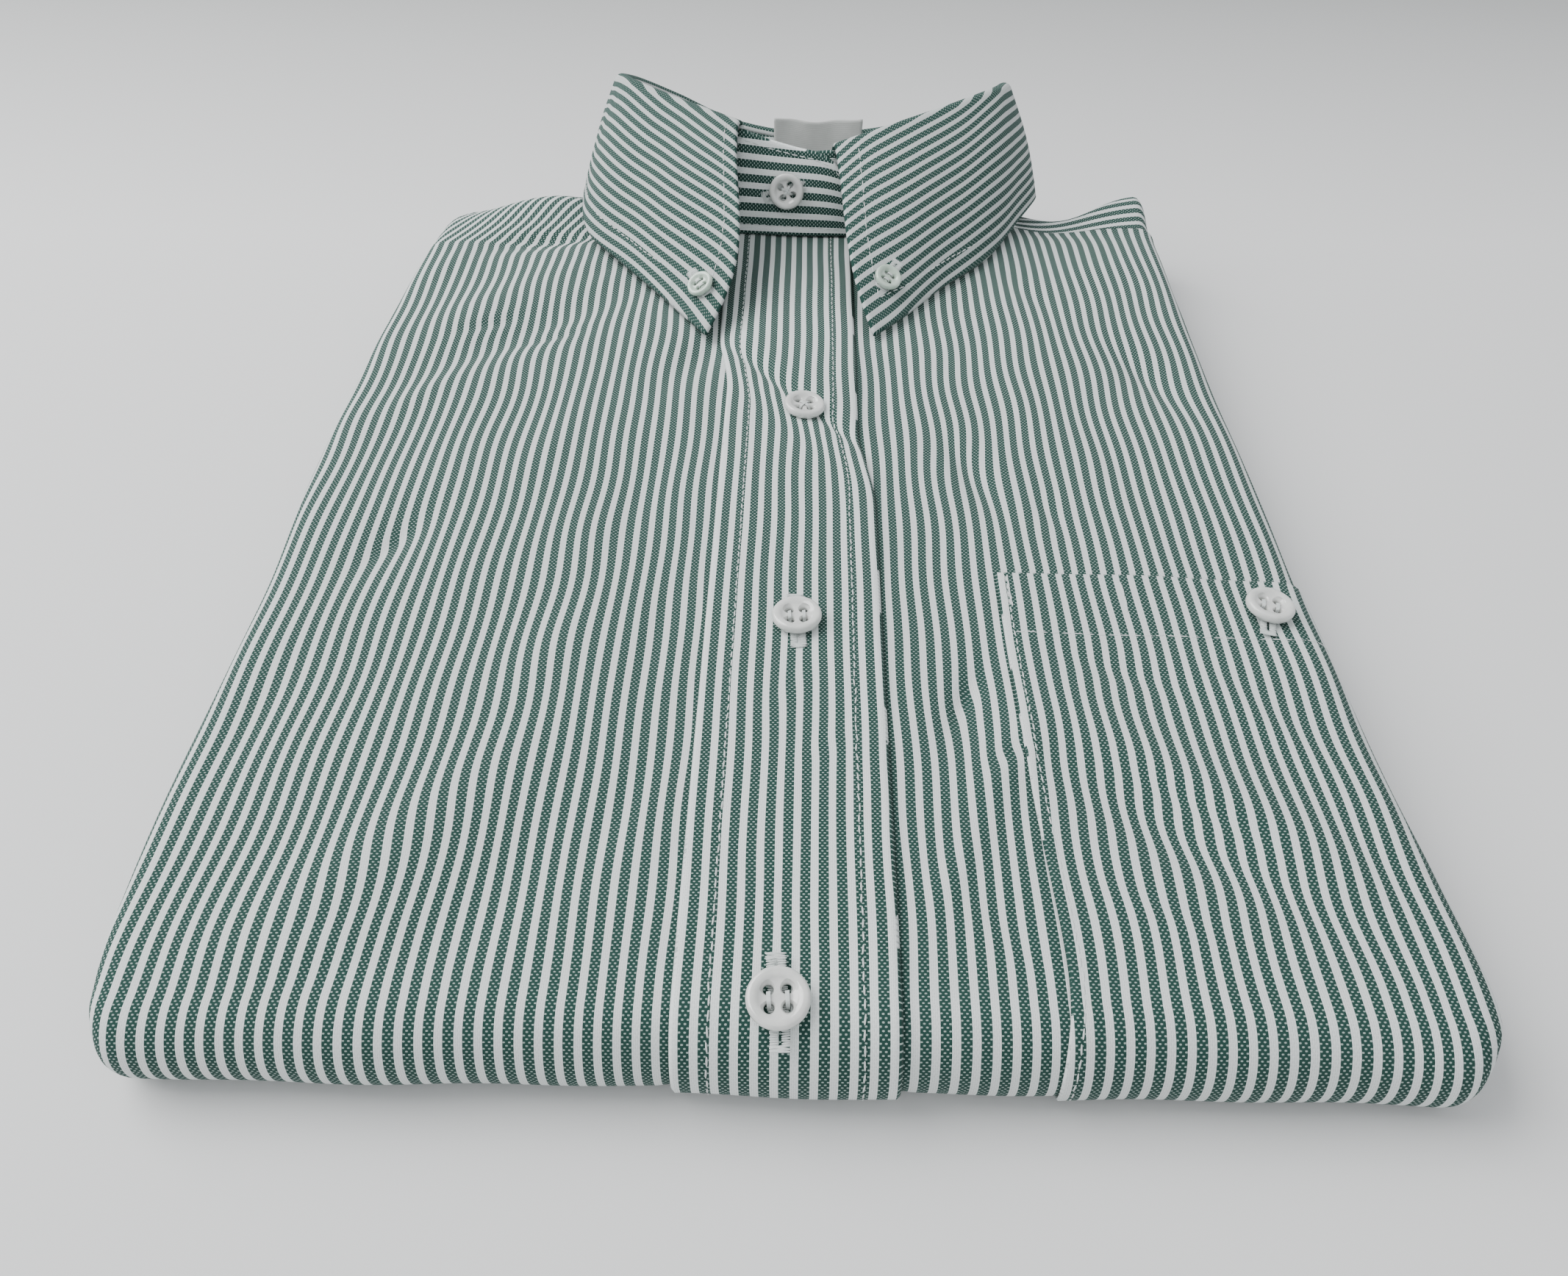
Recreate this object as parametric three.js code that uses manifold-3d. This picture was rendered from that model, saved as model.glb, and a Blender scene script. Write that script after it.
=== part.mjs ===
// A striped short-sleeve shirt with a button-down collar, folded for the shelf and lying front up.
// Millimetres, +Z up. +X is the viewer's right, +Y runs from the near fold up to the collar.
// The shirt is folded in two over the near fold: the upper layers carry the chest, pocket and collar,
// the lower layers lie on the surface, and one rounded core stands for all the layers inside.

import * as THREE from 'three';
import { mergeVertices } from 'three/addons/utils/BufferGeometryUtils.js';
import Module from 'manifold-3d';

const wasm = await Module();
wasm.setup();

// ---------------------------------------------------------------- driving dimensions

const CLOTH = 1.2;            // one wall of shirting with the air in it
const POCKET_CLOTH = 1.0;
const DOUBLE_CLOTH = 1.7;     // two plies sewn together: collar band and collar leaf
const LABEL_CLOTH = 1.0;
const SEAM = 0.3;             // gap between pieces that are sewn edge to edge
const LIE = 0.35;             // gap under a piece that lies on a panel

const HEART = 10.2;           // height of the slit between the upper and the lower layers
const SLIT = 1.0;             // how far each turned-in side stays from that height
const SIDE_ROUND = 6.5;       // how far the rounded side edge reaches in
const SIDE_TURN = 11;         // cloth turned in past the side edge
const FOLD_Y = -151;          // where the near fold starts to turn
const FOLD_REACH = 9.3;       // how far the near fold stands out in front of that
const HEM_Y = 143;            // where the lower half ends, under the shoulders
const EDGE_DROP = 2.2;        // how much lower the chest lies along its sides

const PLACKET_X = 0.9;        // middle of the button placket
const PLACKET_WIDTH = 38.5;
const LAP_X = -14;            // where the two fronts meet under the placket
const GROOVE = 1.6;           // room for the placket under the lower half
const GROOVE_EDGE = 3.5;

const POCKET_LEFT = 48.5;
const POCKET_TOP = -39.5;
const POCKET_END = -55;       // the pocket stops this far round the near fold, in degrees

const NECK = { x: 3, y: 147, half: 68, front: 20.5, back: 29 };
const BAND_OUT = 3;           // the band stands this far outside the neckline
const BAND_REST = 0.8;        // and this far above the highest cloth near its foot
const LEAF_REST = 0.5;        // gap between the band's top edge and the collar leaf
const LEAF_ROLL = 1.9;        // radius of the collar's roll
const FAR_ROUND = 9;          // how far the shoulder fold reaches back
const SHOULDER_X = 118;       // where the shoulder's seam and far edge are read for the side edges

const BUTTON = { across: 11.4, thick: 2.4, hole: 0.85, holeOut: 1.35 };
const POINT_BUTTON = { across: 8.4, thick: 2.0, hole: 0.65, holeOut: 1.05 };
const BUTTON_LIFT = 0.45;     // gap under a button

const COLOURS = { cloth: '#a9b8b4', trim: '#b9c5c2', inside: '#c3cccb', label: '#aeb2b0',
  pearl: '#e4e7e3', point: '#cfd9cf' };

// The folded body by length: its two side edges and the height of its middle.
const BODY = [
  { y: -165, left: -118.0, right: 118.4, top: 19.9 },
  { y: -150, left: -121.5, right: 123.9, top: 20.7 },
  { y: -136, left: -123.7, right: 124.3, top: 21.4 },
  { y: -100, left: -125.2, right: 121.6, top: 22.0 },
  { y: -45, left: -124.8, right: 120.5, top: 22.8 },
  { y: 0, left: -127.0, right: 120.5, top: 23.8 },
  { y: 45, left: -127.2, right: 120.0, top: 24.8 },
  { y: 90, left: -126.0, right: 120.0, top: 26.2 },
  { y: 127, left: -123.4, right: 120.4, top: 27.6 },
  { y: 150, left: -121.2, right: 121.0, top: 25.0 },
  { y: 182, left: -118.0, right: 119.5, top: 13.0 },
];

// The shoulder end across the width: the seam of front and yoke, the far edge, and how low it ends.
const SHOULDER = [
  { x: -128, seam: 148.0, far: 157.0, low: 11.2 },
  { x: -112, seam: 150.5, far: 160.0, low: 11.2 },
  { x: -84, seam: 150.0, far: 165.0, low: 11.2 },
  { x: -62, seam: 148.0, far: 172.0, low: 9.0 },
  { x: -35, seam: 147.0, far: 186.0, low: 4.5 },
  { x: 3, seam: 147.0, far: 190.0, low: 3.5 },
  { x: 40, seam: 147.0, far: 184.0, low: 4.5 },
  { x: 68, seam: 143.5, far: 166.0, low: 9.0 },
  { x: 90, seam: 143.0, far: 155.0, low: 11.2 },
  { x: 114, seam: 148.0, far: 161.0, low: 11.2 },
  { x: 128, seam: 150.0, far: 159.0, low: 11.2 },
];

// The largest soft ridges and troughs of the chest: middle, half length, half width, turn, rise.
const FOLDS = [
  { x: -84, y: 149, long: 24, wide: 11, turn: 8, rise: 6.5 },
  { x: -84, y: 125, long: 17, wide: 5.5, turn: 12, rise: -2.4 },
  { x: 83, y: 142, long: 17, wide: 11, turn: -6, rise: -3.4 },
  { x: 122, y: 153, long: 28, wide: 10, turn: 4, rise: 9.3 },
  { x: -84, y: 66, long: 36, wide: 7.5, turn: 40, rise: -1.7 },
  { x: -96, y: 82, long: 26, wide: 9, turn: 42, rise: 1.3 },
  { x: -97, y: -27, long: 14, wide: 7, turn: 60, rise: -1.6 },
  { x: -74, y: -118, long: 36, wide: 9, turn: 49, rise: 1.5 },
  { x: -52, y: -128, long: 26, wide: 9, turn: 56, rise: -1.2 },
  { x: 38, y: -80, long: 13, wide: 5, turn: 70, rise: -1.5 },
  { x: 44, y: -98, long: 14, wide: 5, turn: 60, rise: 1.3 },
  { x: 76, y: -116, long: 28, wide: 7, turn: -36, rise: -1.8 },
  { x: 84, y: -104, long: 30, wide: 8, turn: -38, rise: 1.4 },
  { x: 46, y: 0, long: 18, wide: 6, turn: -74, rise: -1.3 },
  { x: 100, y: 50, long: 20, wide: 7, turn: -66, rise: -1.4 },
  { x: -26, y: 58, long: 20, wide: 6, turn: 62, rise: -1.6 },
];

// The collar by turn round the neck, from its right front end, over the back, to its left front end:
// the point where it rolls over the band, and the point its free edge reaches.
const COLLAR = [
  { turn: -83.5, rollX: 11.0, rollY: 129.0, rollZ: 55.0, edgeX: 22.9, edgeY: 64.0, edgeZ: 27.3 },
  { turn: -69, rollX: 26.0, rollY: 134.0, rollZ: 58.0, edgeX: 31.8, edgeY: 74.7, edgeZ: 27.5 },
  { turn: -48, rollX: 45.5, rollY: 145.0, rollZ: 60.0, edgeX: 44.2, edgeY: 91.9, edgeZ: 28.0 },
  { turn: -27, rollX: 60.0, rollY: 156.0, rollZ: 61.0, edgeX: 60.4, edgeY: 111.5, edgeZ: 28.5 },
  { turn: -9, rollX: 65.0, rollY: 162.5, rollZ: 60.8, edgeX: 72.5, edgeY: 136.4, edgeZ: 29.0 },
  { turn: 6, rollX: 66.2, rollY: 168.0, rollZ: 59.4, edgeX: 81.0, edgeY: 155.5, edgeZ: 29.0 },
  { turn: 25, rollX: 63.2, rollY: 174.0, rollZ: 55.0, edgeX: 80.5, edgeY: 176.0, edgeZ: 20.0 },
  { turn: 48, rollX: 50.5, rollY: 180.5, rollZ: 46.5, edgeX: 63.5, edgeY: 198.0, edgeZ: 9.5 },
  { turn: 70, rollX: 29.0, rollY: 185.0, rollZ: 38.6, edgeX: 35.0, edgeY: 208.0, edgeZ: 5.0 },
  { turn: 90, rollX: 3.0, rollY: 187.0, rollZ: 35.6, edgeX: 3.0, edgeY: 212.0, edgeZ: 4.0 },
  { turn: 110, rollX: -22.0, rollY: 187.0, rollZ: 39.8, edgeX: -27.0, edgeY: 210.0, edgeZ: 5.5 },
  { turn: 132, rollX: -42.0, rollY: 183.0, rollZ: 50.2, edgeX: -51.5, edgeY: 201.0, edgeZ: 10.0 },
  { turn: 154, rollX: -54.0, rollY: 175.5, rollZ: 58.0, edgeX: -68.5, edgeY: 187.0, edgeZ: 17.0 },
  { turn: 174, rollX: -58.0, rollY: 168.5, rollZ: 61.4, edgeX: -74.0, edgeY: 168.0, edgeZ: 23.5 },
  { turn: 189, rollX: -55.0, rollY: 162.5, rollZ: 61.8, edgeX: -72.0, edgeY: 140.0, edgeZ: 31.5 },
  { turn: 205, rollX: -46.8, rollY: 154.0, rollZ: 61.6, edgeX: -67.5, edgeY: 121.2, edgeZ: 31.0 },
  { turn: 222, rollX: -37.2, rollY: 146.0, rollZ: 61.2, edgeX: -55.6, edgeY: 104.7, edgeZ: 29.5 },
  { turn: 239, rollX: -27.0, rollY: 138.5, rollZ: 60.8, edgeX: -38.0, edgeY: 80.6, edgeZ: 28.0 },
  { turn: 252, rollX: -18.0, rollY: 133.0, rollZ: 60.0, edgeX: -26.5, edgeY: 63.5, edgeZ: 27.3 },
];

// The front of the band past the collar's ends: its top edge falls to a rounded end.
const BAND_ENDS = [
  { turn: -102, x: -12.0, y: 135.5, z: 51.0 },
  { turn: 258, x: -11.5, y: 133.2, z: 57.3 },
  { turn: 267, x: -0.5, y: 131.6, z: 54.7 },
  { turn: 273, x: 7.0, y: 129.4, z: 53.7 },
  { turn: 277.5, x: 12.5, y: 127.0, z: 50.5 },
  { turn: 281, x: 16.5, y: 125.7, z: 43.6 },
];

const PLACKET_BUTTONS = [{ x: 2.4, y: 26.8 }, { x: 1.6, y: -57.7 }, { x: -0.5, y: -151.6, lean: 9 }];
const POCKET_BUTTON = { x: 108.6, y: -50.6 };

// ---------------------------------------------------------------- curves through tables

/** A column of a table at `at`: a cubic through its rows, with each row's slope from its neighbours. */
function read(table, index, at, column) {
  const last = table.length - 1;
  if (at <= table[0][index]) return table[0][column];
  if (at >= table[last][index]) return table[last][column];
  let row = 0;
  while (table[row + 1][index] < at) row += 1;
  const slope = (k) => {
    const before = table[Math.max(k - 1, 0)];
    const after = table[Math.min(k + 1, last)];
    return (after[column] - before[column]) / (after[index] - before[index]);
  };
  const from = table[row];
  const to = table[row + 1];
  const span = to[index] - from[index];
  const t = (at - from[index]) / span;
  const t2 = t * t;
  const t3 = t2 * t;
  return (2 * t3 - 3 * t2 + 1) * from[column] + (t3 - 2 * t2 + t) * span * slope(row)
    + (3 * t2 - 2 * t3) * to[column] + (t3 - t2) * span * slope(row + 1);
}

const mix = (from, to, t) => from + (to - from) * t;
const degrees = (angle) => THREE.MathUtils.degToRad(angle);

/** 0 below `from`, 1 above `to`, eased between. */
const ease = (value, from, to) => THREE.MathUtils.smoothstep(value, from, to);

/** `count` + 1 even values from `from` to `to`. */
const steps = (from, to, count) => Array.from({ length: count + 1 }, (_, k) => mix(from, to, k / count));

// ---------------------------------------------------------------- the folded body's surface

/** Height of the chest: the middle's height, lower along the sides, with the soft folds added. */
function chestHeight(x, y) {
  const left = read(BODY, 'y', y, 'left');
  const right = read(BODY, 'y', y, 'right');
  const out = (2 * x - left - right) / (right - left);
  const calm = ease(y, FOLD_Y, FOLD_Y + 12);
  let height = read(BODY, 'y', y, 'top') - EDGE_DROP * Math.abs(out) ** 3;
  for (const fold of FOLDS) {
    const c = Math.cos(degrees(fold.turn));
    const s = Math.sin(degrees(fold.turn));
    const along = ((x - fold.x) * c + (y - fold.y) * s) / fold.long;
    const across = ((y - fold.y) * c - (x - fold.x) * s) / fold.wide;
    height += calm * fold.rise * Math.exp(-along * along - across * across);
  }
  return height;
}

/** How far the lower half is lifted where the placket lies under it. */
const grooveLift = (x) => GROOVE * (1 - ease(Math.abs(x - PLACKET_X), PLACKET_WIDTH / 2 + 0.6,
  PLACKET_WIDTH / 2 + GROOVE_EDGE));

/**
 * A point of the sheet that wraps the body. A station lies on the chest ({ y }), round the near fold
 * ({ turn }, 90 on top to -90 beneath) or under the body ({ under }). `depth` is a share of the way
 * from the outer surface down to the turned-in side.
 */
function bodyPoint(x, station, depth) {
  if (station.turn === undefined) {
    const above = station.under === undefined;
    const y = above ? station.y : station.under;
    const tall = above ? chestHeight(x, y) - HEART : HEART - grooveLift(x);
    const height = tall - depth * (tall - SLIT);
    return new THREE.Vector3(x, y, HEART + (above ? height : -height));
  }
  const angle = degrees(station.turn);
  const upper = chestHeight(x, FOLD_Y) - HEART;
  const tall = mix(HEART - grooveLift(x), upper, (1 + Math.sin(angle)) / 2);
  const left = tall - depth * (tall - SLIT);
  const y = FOLD_Y - FOLD_REACH * (left / tall) * Math.cos(angle);
  return new THREE.Vector3(x, y, HEART + left * Math.sin(angle));
}

/** The y of a station, for looking up the side edges. */
function stationY(station) {
  if (station.under !== undefined) return station.under;
  if (station.turn !== undefined) return FOLD_Y - FOLD_REACH * Math.cos(degrees(station.turn));
  return station.y;
}

/** Where the chest ends at the top: the neckline inside the collar, the yoke seam outside it. */
function frontEnd(x) {
  const across = (x - NECK.x) / NECK.half;
  if (Math.abs(across) >= 1) return read(SHOULDER, 'x', x, 'seam');
  return NECK.y - NECK.front * Math.sqrt(1 - across * across);
}

/** Where the yoke starts: behind the neck opening inside the collar, at the seam outside it. */
function yokeStart(x) {
  const across = (x - NECK.x) / NECK.half;
  if (Math.abs(across) >= 1) return read(SHOULDER, 'x', x, 'seam');
  return NECK.y + NECK.back * Math.sqrt(1 - across * across);
}

// Stations down the chest, round the near fold and back under the body.
const BLEND_Y = 98;
const NECK_ROWS = 4;
const CHEST_YS = [...steps(BLEND_Y, POCKET_TOP, 11), ...steps(POCKET_TOP, FOLD_Y, 9).slice(1)];
const FOLD_TURNS = steps(90, -90, 8).slice(1, -1);
const UNDER_YS = [FOLD_Y, FOLD_Y + 60, 40, HEM_Y];
const STATIONS = [
  ...Array.from({ length: NECK_ROWS }, (_, k) => ({ neck: k / NECK_ROWS })),
  ...CHEST_YS.map((y) => ({ y })),
  ...FOLD_TURNS.map((turn) => ({ turn })),
  ...UNDER_YS.map((under) => ({ under })),
];
const isPocketRow = (station) => (station.y !== undefined && station.y <= POCKET_TOP + 0.01)
  || station.turn > POCKET_END;

// The rounded side edge, from the chest down to the turned-in cloth.
const SIDE_ANGLES = steps(90, -90, 6).slice(1);

/** A station with its y filled in for the column that starts at `end`. */
const placed = (station, end) => (station.neck === undefined ? station
  : { y: mix(end, BLEND_Y, station.neck) });

/**
 * One point across the body. `column` is { x } on the chest, { edge } from the last x to the rounded
 * side, { angle } on the round or { turned } on the cloth turned in. `side` is 1 right and -1 left.
 */
function columnPoint(column, station, side, lastX) {
  const edgeName = side > 0 ? 'right' : 'left';
  const rowStation = placed(station, read(SHOULDER, 'x', side * SHOULDER_X, 'seam'));
  const edge = read(BODY, 'y', stationY(rowStation), edgeName);
  const brink = edge - side * SIDE_ROUND;
  if (column.x !== undefined) return bodyPoint(column.x, placed(station, frontEnd(column.x)), 0);
  if (column.edge !== undefined) {
    const x = mix(lastX, brink, column.edge);
    return bodyPoint(x, placed(station, frontEnd(x)), 0);
  }
  if (column.turned !== undefined) return bodyPoint(brink - side * column.turned, rowStation, 1);
  const angle = degrees(column.angle);
  const point = bodyPoint(brink, rowStation, (1 - Math.sin(angle)) / 2);
  point.x += side * SIDE_ROUND * Math.cos(angle);
  return point;
}

/** The grid of a front: rows down the stations, columns from left to right. */
function frontGrid(columns, side, lastX) {
  const ordered = side > 0 ? columns : [...columns].reverse();
  return STATIONS.map((station) => ordered.map((column) => columnPoint(column, station, side, lastX)));
}

const sideColumns = (spans) => [
  ...steps(0, 1, spans).slice(1).map((edge) => ({ edge })),
  ...SIDE_ANGLES.map((angle) => ({ angle })),
  { turned: SIDE_TURN },
];
const PLACKET_LEFT = PLACKET_X - PLACKET_WIDTH / 2;
const PLACKET_RIGHT = PLACKET_X + PLACKET_WIDTH / 2;
const LEFT_XS = [LAP_X - SEAM, PLACKET_LEFT, PLACKET_LEFT - GROOVE_EDGE, -33];
const RIGHT_XS = [LAP_X, -5, 8, PLACKET_RIGHT, PLACKET_RIGHT + GROOVE_EDGE, 31, 40, POCKET_LEFT];
const LEFT_SPANS = 9;
const RIGHT_SPANS = 7;

// ---------------------------------------------------------------- walls of cloth

/** Outward unit normals of a grid of points, from its neighbours along rows and columns. */
function gridNormals(grid) {
  const rows = grid.length;
  const columns = grid[0].length;
  return grid.map((line, i) => line.map((_, j) => {
    const down = grid[Math.min(i + 1, rows - 1)][j].clone().sub(grid[Math.max(i - 1, 0)][j]);
    const across = grid[i][Math.min(j + 1, columns - 1)].clone().sub(grid[i][Math.max(j - 1, 0)]);
    return down.cross(across).normalize();
  }));
}

/** Turns one row of normals into the plane across the body, so that two walls can meet end to end. */
function squareEnd(normals, row) {
  normals[row].forEach((normal) => normal.setY(0).normalize());
  return normals;
}

/** A closed wall over a grid: its faces lie `from` and `to` along the grid's outward normals. */
function wall(grid, from, to, normals = gridNormals(grid)) {
  const rows = grid.length;
  const columns = grid[0].length;
  const positions = [];
  for (const offset of [to, from]) {
    grid.forEach((line, i) => line.forEach((point, j) => {
      positions.push(...point.clone().addScaledVector(normals[i][j], offset).toArray());
    }));
  }
  const outer = (i, j) => i * columns + j;
  const inner = (i, j) => rows * columns + outer(i, j);
  const faces = [];
  for (let i = 0; i < rows - 1; i += 1) {
    for (let j = 0; j < columns - 1; j += 1) {
      faces.push(outer(i, j), outer(i + 1, j), outer(i + 1, j + 1));
      faces.push(outer(i, j), outer(i + 1, j + 1), outer(i, j + 1));
      faces.push(inner(i, j), inner(i + 1, j + 1), inner(i + 1, j));
      faces.push(inner(i, j), inner(i, j + 1), inner(i + 1, j + 1));
    }
  }
  const rim = (a, b) => {
    faces.push(outer(...b), outer(...a), inner(...a));
    faces.push(outer(...b), inner(...a), inner(...b));
  };
  for (let i = 0; i < rows - 1; i += 1) {
    rim([i, 0], [i + 1, 0]);
    rim([i + 1, columns - 1], [i, columns - 1]);
  }
  for (let j = 0; j < columns - 1; j += 1) {
    rim([rows - 1, j], [rows - 1, j + 1]);
    rim([0, j + 1], [0, j]);
  }
  const geometry = new THREE.BufferGeometry();
  geometry.setAttribute('position', new THREE.Float32BufferAttribute(positions, 3));
  geometry.setIndex(faces);
  return geometry;
}

// ---------------------------------------------------------------- joining and cutting solids

/** A geometry as a solid for joining or cutting. */
function solidOf(geometry) {
  const bare = geometry.clone();
  bare.deleteAttribute('normal');
  bare.deleteAttribute('uv');
  const merged = mergeVertices(bare, 1e-4);
  return new wasm.Manifold(new wasm.Mesh({
    numProp: 3,
    vertProperties: new Float32Array(merged.attributes.position.array),
    triVerts: new Uint32Array(merged.index.array),
  }));
}

/** The geometry of a joined or cut solid. */
function geometryOf(solid) {
  const mesh = solid.getMesh();
  const geometry = new THREE.BufferGeometry();
  geometry.setAttribute('position', new THREE.Float32BufferAttribute(mesh.vertProperties, 3));
  geometry.setIndex(new THREE.Uint32BufferAttribute(mesh.triVerts, 1));
  return geometry;
}

// ---------------------------------------------------------------- fronts, placket and pocket

const RIGHT_COLUMNS = [...RIGHT_XS.map((x) => ({ x })), ...sideColumns(RIGHT_SPANS)];
const LEFT_COLUMNS = [...LEFT_XS.map((x) => ({ x })), ...sideColumns(LEFT_SPANS)];
const rightGrid = frontGrid(RIGHT_COLUMNS, 1, POCKET_LEFT);
const leftGrid = frontGrid(LEFT_COLUMNS, -1, LEFT_XS.at(-1));

const frontRight = wall(rightGrid, -CLOTH, 0, squareEnd(gridNormals(rightGrid), 0));
const frontLeft = wall(leftGrid, -CLOTH, 0, squareEnd(gridNormals(leftGrid), 0));

/** The placket lies on both fronts, from the neckline, round the near fold, to the hem beneath. */
function placket() {
  const xs = steps(PLACKET_LEFT, PLACKET_RIGHT, 6);
  const grid = STATIONS.map((station) => xs.map((x) => bodyPoint(x, placed(station, frontEnd(x)), 0)));
  return wall(grid, LIE, LIE + CLOTH);
}

// The patch pocket is the part of the right front's grid that it covers, moved out.
const pocketRows = STATIONS.map((station, i) => (isPocketRow(station) ? i : -1)).filter((i) => i >= 0);
const pocketFrom = RIGHT_XS.length - 1;
const pocketTo = RIGHT_COLUMNS.length - 2;
const cutOut = (grid) => pocketRows.map((i) => grid[i].slice(pocketFrom, pocketTo));
const rightNormals = gridNormals(rightGrid);
const pocketGrid = cutOut(rightGrid);
const pocketNormals = cutOut(rightNormals);
const pocket = wall(pocketGrid, LIE, LIE + POCKET_CLOTH, pocketNormals);

// ---------------------------------------------------------------- yoke

const INNER_LEFT = -62;       // the yoke's evenly spaced middle columns lie between these
const INNER_RIGHT = 68;
const LEAST_FALL = 3;

/**
 * The yoke: from the seams of both fronts and the back of the neck, over the shoulders, and down its
 * far rounding and its two sides. Its height falls to its low edge along each of them, and where they
 * meet at a corner the two falls multiply.
 */
function yoke() {
  const drop = [60, 30, 0].map((angle) => (
    { out: Math.cos(degrees(angle)), share: (1 + Math.sin(degrees(angle))) / 2 }));
  const outward = [...steps(0, 1, 5).slice(1).map((edge) => ({ edge })), ...drop, { out: 1.06, share: 0 }];
  const line = (side) => outward.map((column) => ({ ...column, side }));
  const middle = steps(INNER_LEFT, INNER_RIGHT, 12).map((x) => ({ x, side: 1 }));
  const columns = [...line(-1).reverse(), ...middle, ...line(1)];
  const flats = steps(0, 1, 3).map((flat) => ({ flat, share: 1 }));
  const falls = steps(90, 0, 5).slice(1).map((angle) => (
    { reach: Math.cos(degrees(angle)), share: Math.sin(degrees(angle)) }));
  const rows = [...flats, ...falls];
  const point = (column, row) => {
    const side = column.side;
    const seamY = read(SHOULDER, 'x', side * SHOULDER_X, 'seam');
    const brink = read(BODY, 'y', seamY, side > 0 ? 'right' : 'left') - side * SIDE_ROUND;
    const onSide = column.out !== undefined;
    let x = column.x ?? brink;
    if (column.edge !== undefined) x = mix(side > 0 ? INNER_RIGHT : INNER_LEFT, brink, column.edge);
    const start = (onSide ? seamY : yokeStart(x)) + SEAM;
    const far = read(SHOULDER, 'x', onSide ? side * SHOULDER_X : x, 'far');
    const low = read(SHOULDER, 'x', onSide ? side * SHOULDER_X : x, 'low');
    const round = Math.min(FAR_ROUND, 0.75 * (far - start));
    const flatY = mix(start, far - round, row.flat ?? 1);
    const y = flatY + round * (row.reach ?? 0);
    const tall = Math.max(chestHeight(x, Math.min(y, far - round)) - low, LEAST_FALL);
    const height = low + tall * row.share * (column.share ?? 1);
    return new THREE.Vector3(x + side * SIDE_ROUND * (column.out ?? 0), y, height);
  };
  const grid = rows.reverse().map((row) => columns.map((column) => point(column, row)));
  return wall(grid, -CLOTH, 0, squareEnd(gridNormals(grid), rows.length - 1));
}

// ---------------------------------------------------------------- collar

/** Where the band stands on the neckline at a turn round the neck; `inward` moves it into the ring. */
function bandFoot(turn, inward = 0) {
  const angle = degrees(turn);
  const deep = (Math.sin(angle) < 0 ? NECK.front : NECK.back) + BAND_OUT - inward;
  const x = NECK.x + (NECK.half + BAND_OUT - inward) * Math.cos(angle);
  const y = NECK.y + deep * Math.sin(angle);
  return new THREE.Vector3(x, y, footHeight(x, y));
}

/** Height that a foot on the neckline stands at: clear of the cloth a little all round it. */
function footHeight(x, y) {
  const near = [[0, 0], [BAND_OUT, 0], [-BAND_OUT, 0], [0, BAND_OUT], [0, -BAND_OUT]];
  const under = Math.abs(x - PLACKET_X) < PLACKET_WIDTH / 2 + 6 && y < NECK.y ? LIE + CLOTH : 0;
  return Math.max(...near.map(([dx, dy]) => chestHeight(x + dx, y + dy))) + under + BAND_REST;
}

const rollPoint = (turn) => new THREE.Vector3(read(COLLAR, 'turn', turn, 'rollX'),
  read(COLLAR, 'turn', turn, 'rollY'), read(COLLAR, 'turn', turn, 'rollZ'));
const edgePoint = (turn) => new THREE.Vector3(read(COLLAR, 'turn', turn, 'edgeX'),
  read(COLLAR, 'turn', turn, 'edgeY'), read(COLLAR, 'turn', turn, 'edgeZ'));

const LEAF_START = COLLAR[0].turn;
const LEAF_END = COLLAR.at(-1).turn;
const LAP = { gap: 2.2, from: -76, to: -30 };

/** Top edge of the band: the collar's roll line, carried on over the two front ends. */
function bandTop(turn) {
  if (turn < LEAF_START) {
    const t = (turn - BAND_ENDS[0].turn) / (LEAF_START - BAND_ENDS[0].turn);
    const from = new THREE.Vector3(BAND_ENDS[0].x, BAND_ENDS[0].y, BAND_ENDS[0].z);
    return from.lerp(rollPoint(LEAF_START), t);
  }
  if (turn <= LEAF_END) return rollPoint(turn);
  const ends = [{ turn: LEAF_END, x: COLLAR.at(-1).rollX, y: COLLAR.at(-1).rollY, z: COLLAR.at(-1).rollZ },
    ...BAND_ENDS.slice(1)];
  return new THREE.Vector3(read(ends, 'turn', turn, 'x'), read(ends, 'turn', turn, 'y'),
    read(ends, 'turn', turn, 'z'));
}

/** How far the band's under end is pushed into the ring, so that its over end can lap it. */
const lapInward = (turn) => LAP.gap * (1 - ease(turn, LAP.from, LAP.to));

const LEAF_TURNS = [...steps(LEAF_START, 6, 11), ...steps(6, 174, 15).slice(1),
  ...steps(174, LEAF_END, 9).slice(1)];
const BAND_TURNS = [...steps(BAND_ENDS[0].turn, LEAF_START, 3).slice(0, -1), ...LEAF_TURNS,
  ...steps(LEAF_END, BAND_ENDS.at(-1).turn, 6).slice(1)];
const BAND_SHARES = [0, 0.5, 1];

// The stand of the collar is an upright strip round the neck whose ends lap at the front.
const bandGrid = BAND_SHARES.map((share) => BAND_TURNS
  .map((turn) => bandFoot(turn, lapInward(turn)).lerp(bandTop(turn), share))).reverse();
const bandNormals = gridNormals(bandGrid);
const band = wall(bandGrid, -DOUBLE_CLOTH / 2, DOUBLE_CLOTH / 2, bandNormals);

const ROLL_STEPS = 4;
const FALL_STEPS = 5;
const FALL_BULGE = 1.6;
// How far the front edge of each collar point bows to +X below the roll (left) and to -X (right).
const LEAF_BOW = { left: 6.3, right: 2.6 };

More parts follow.
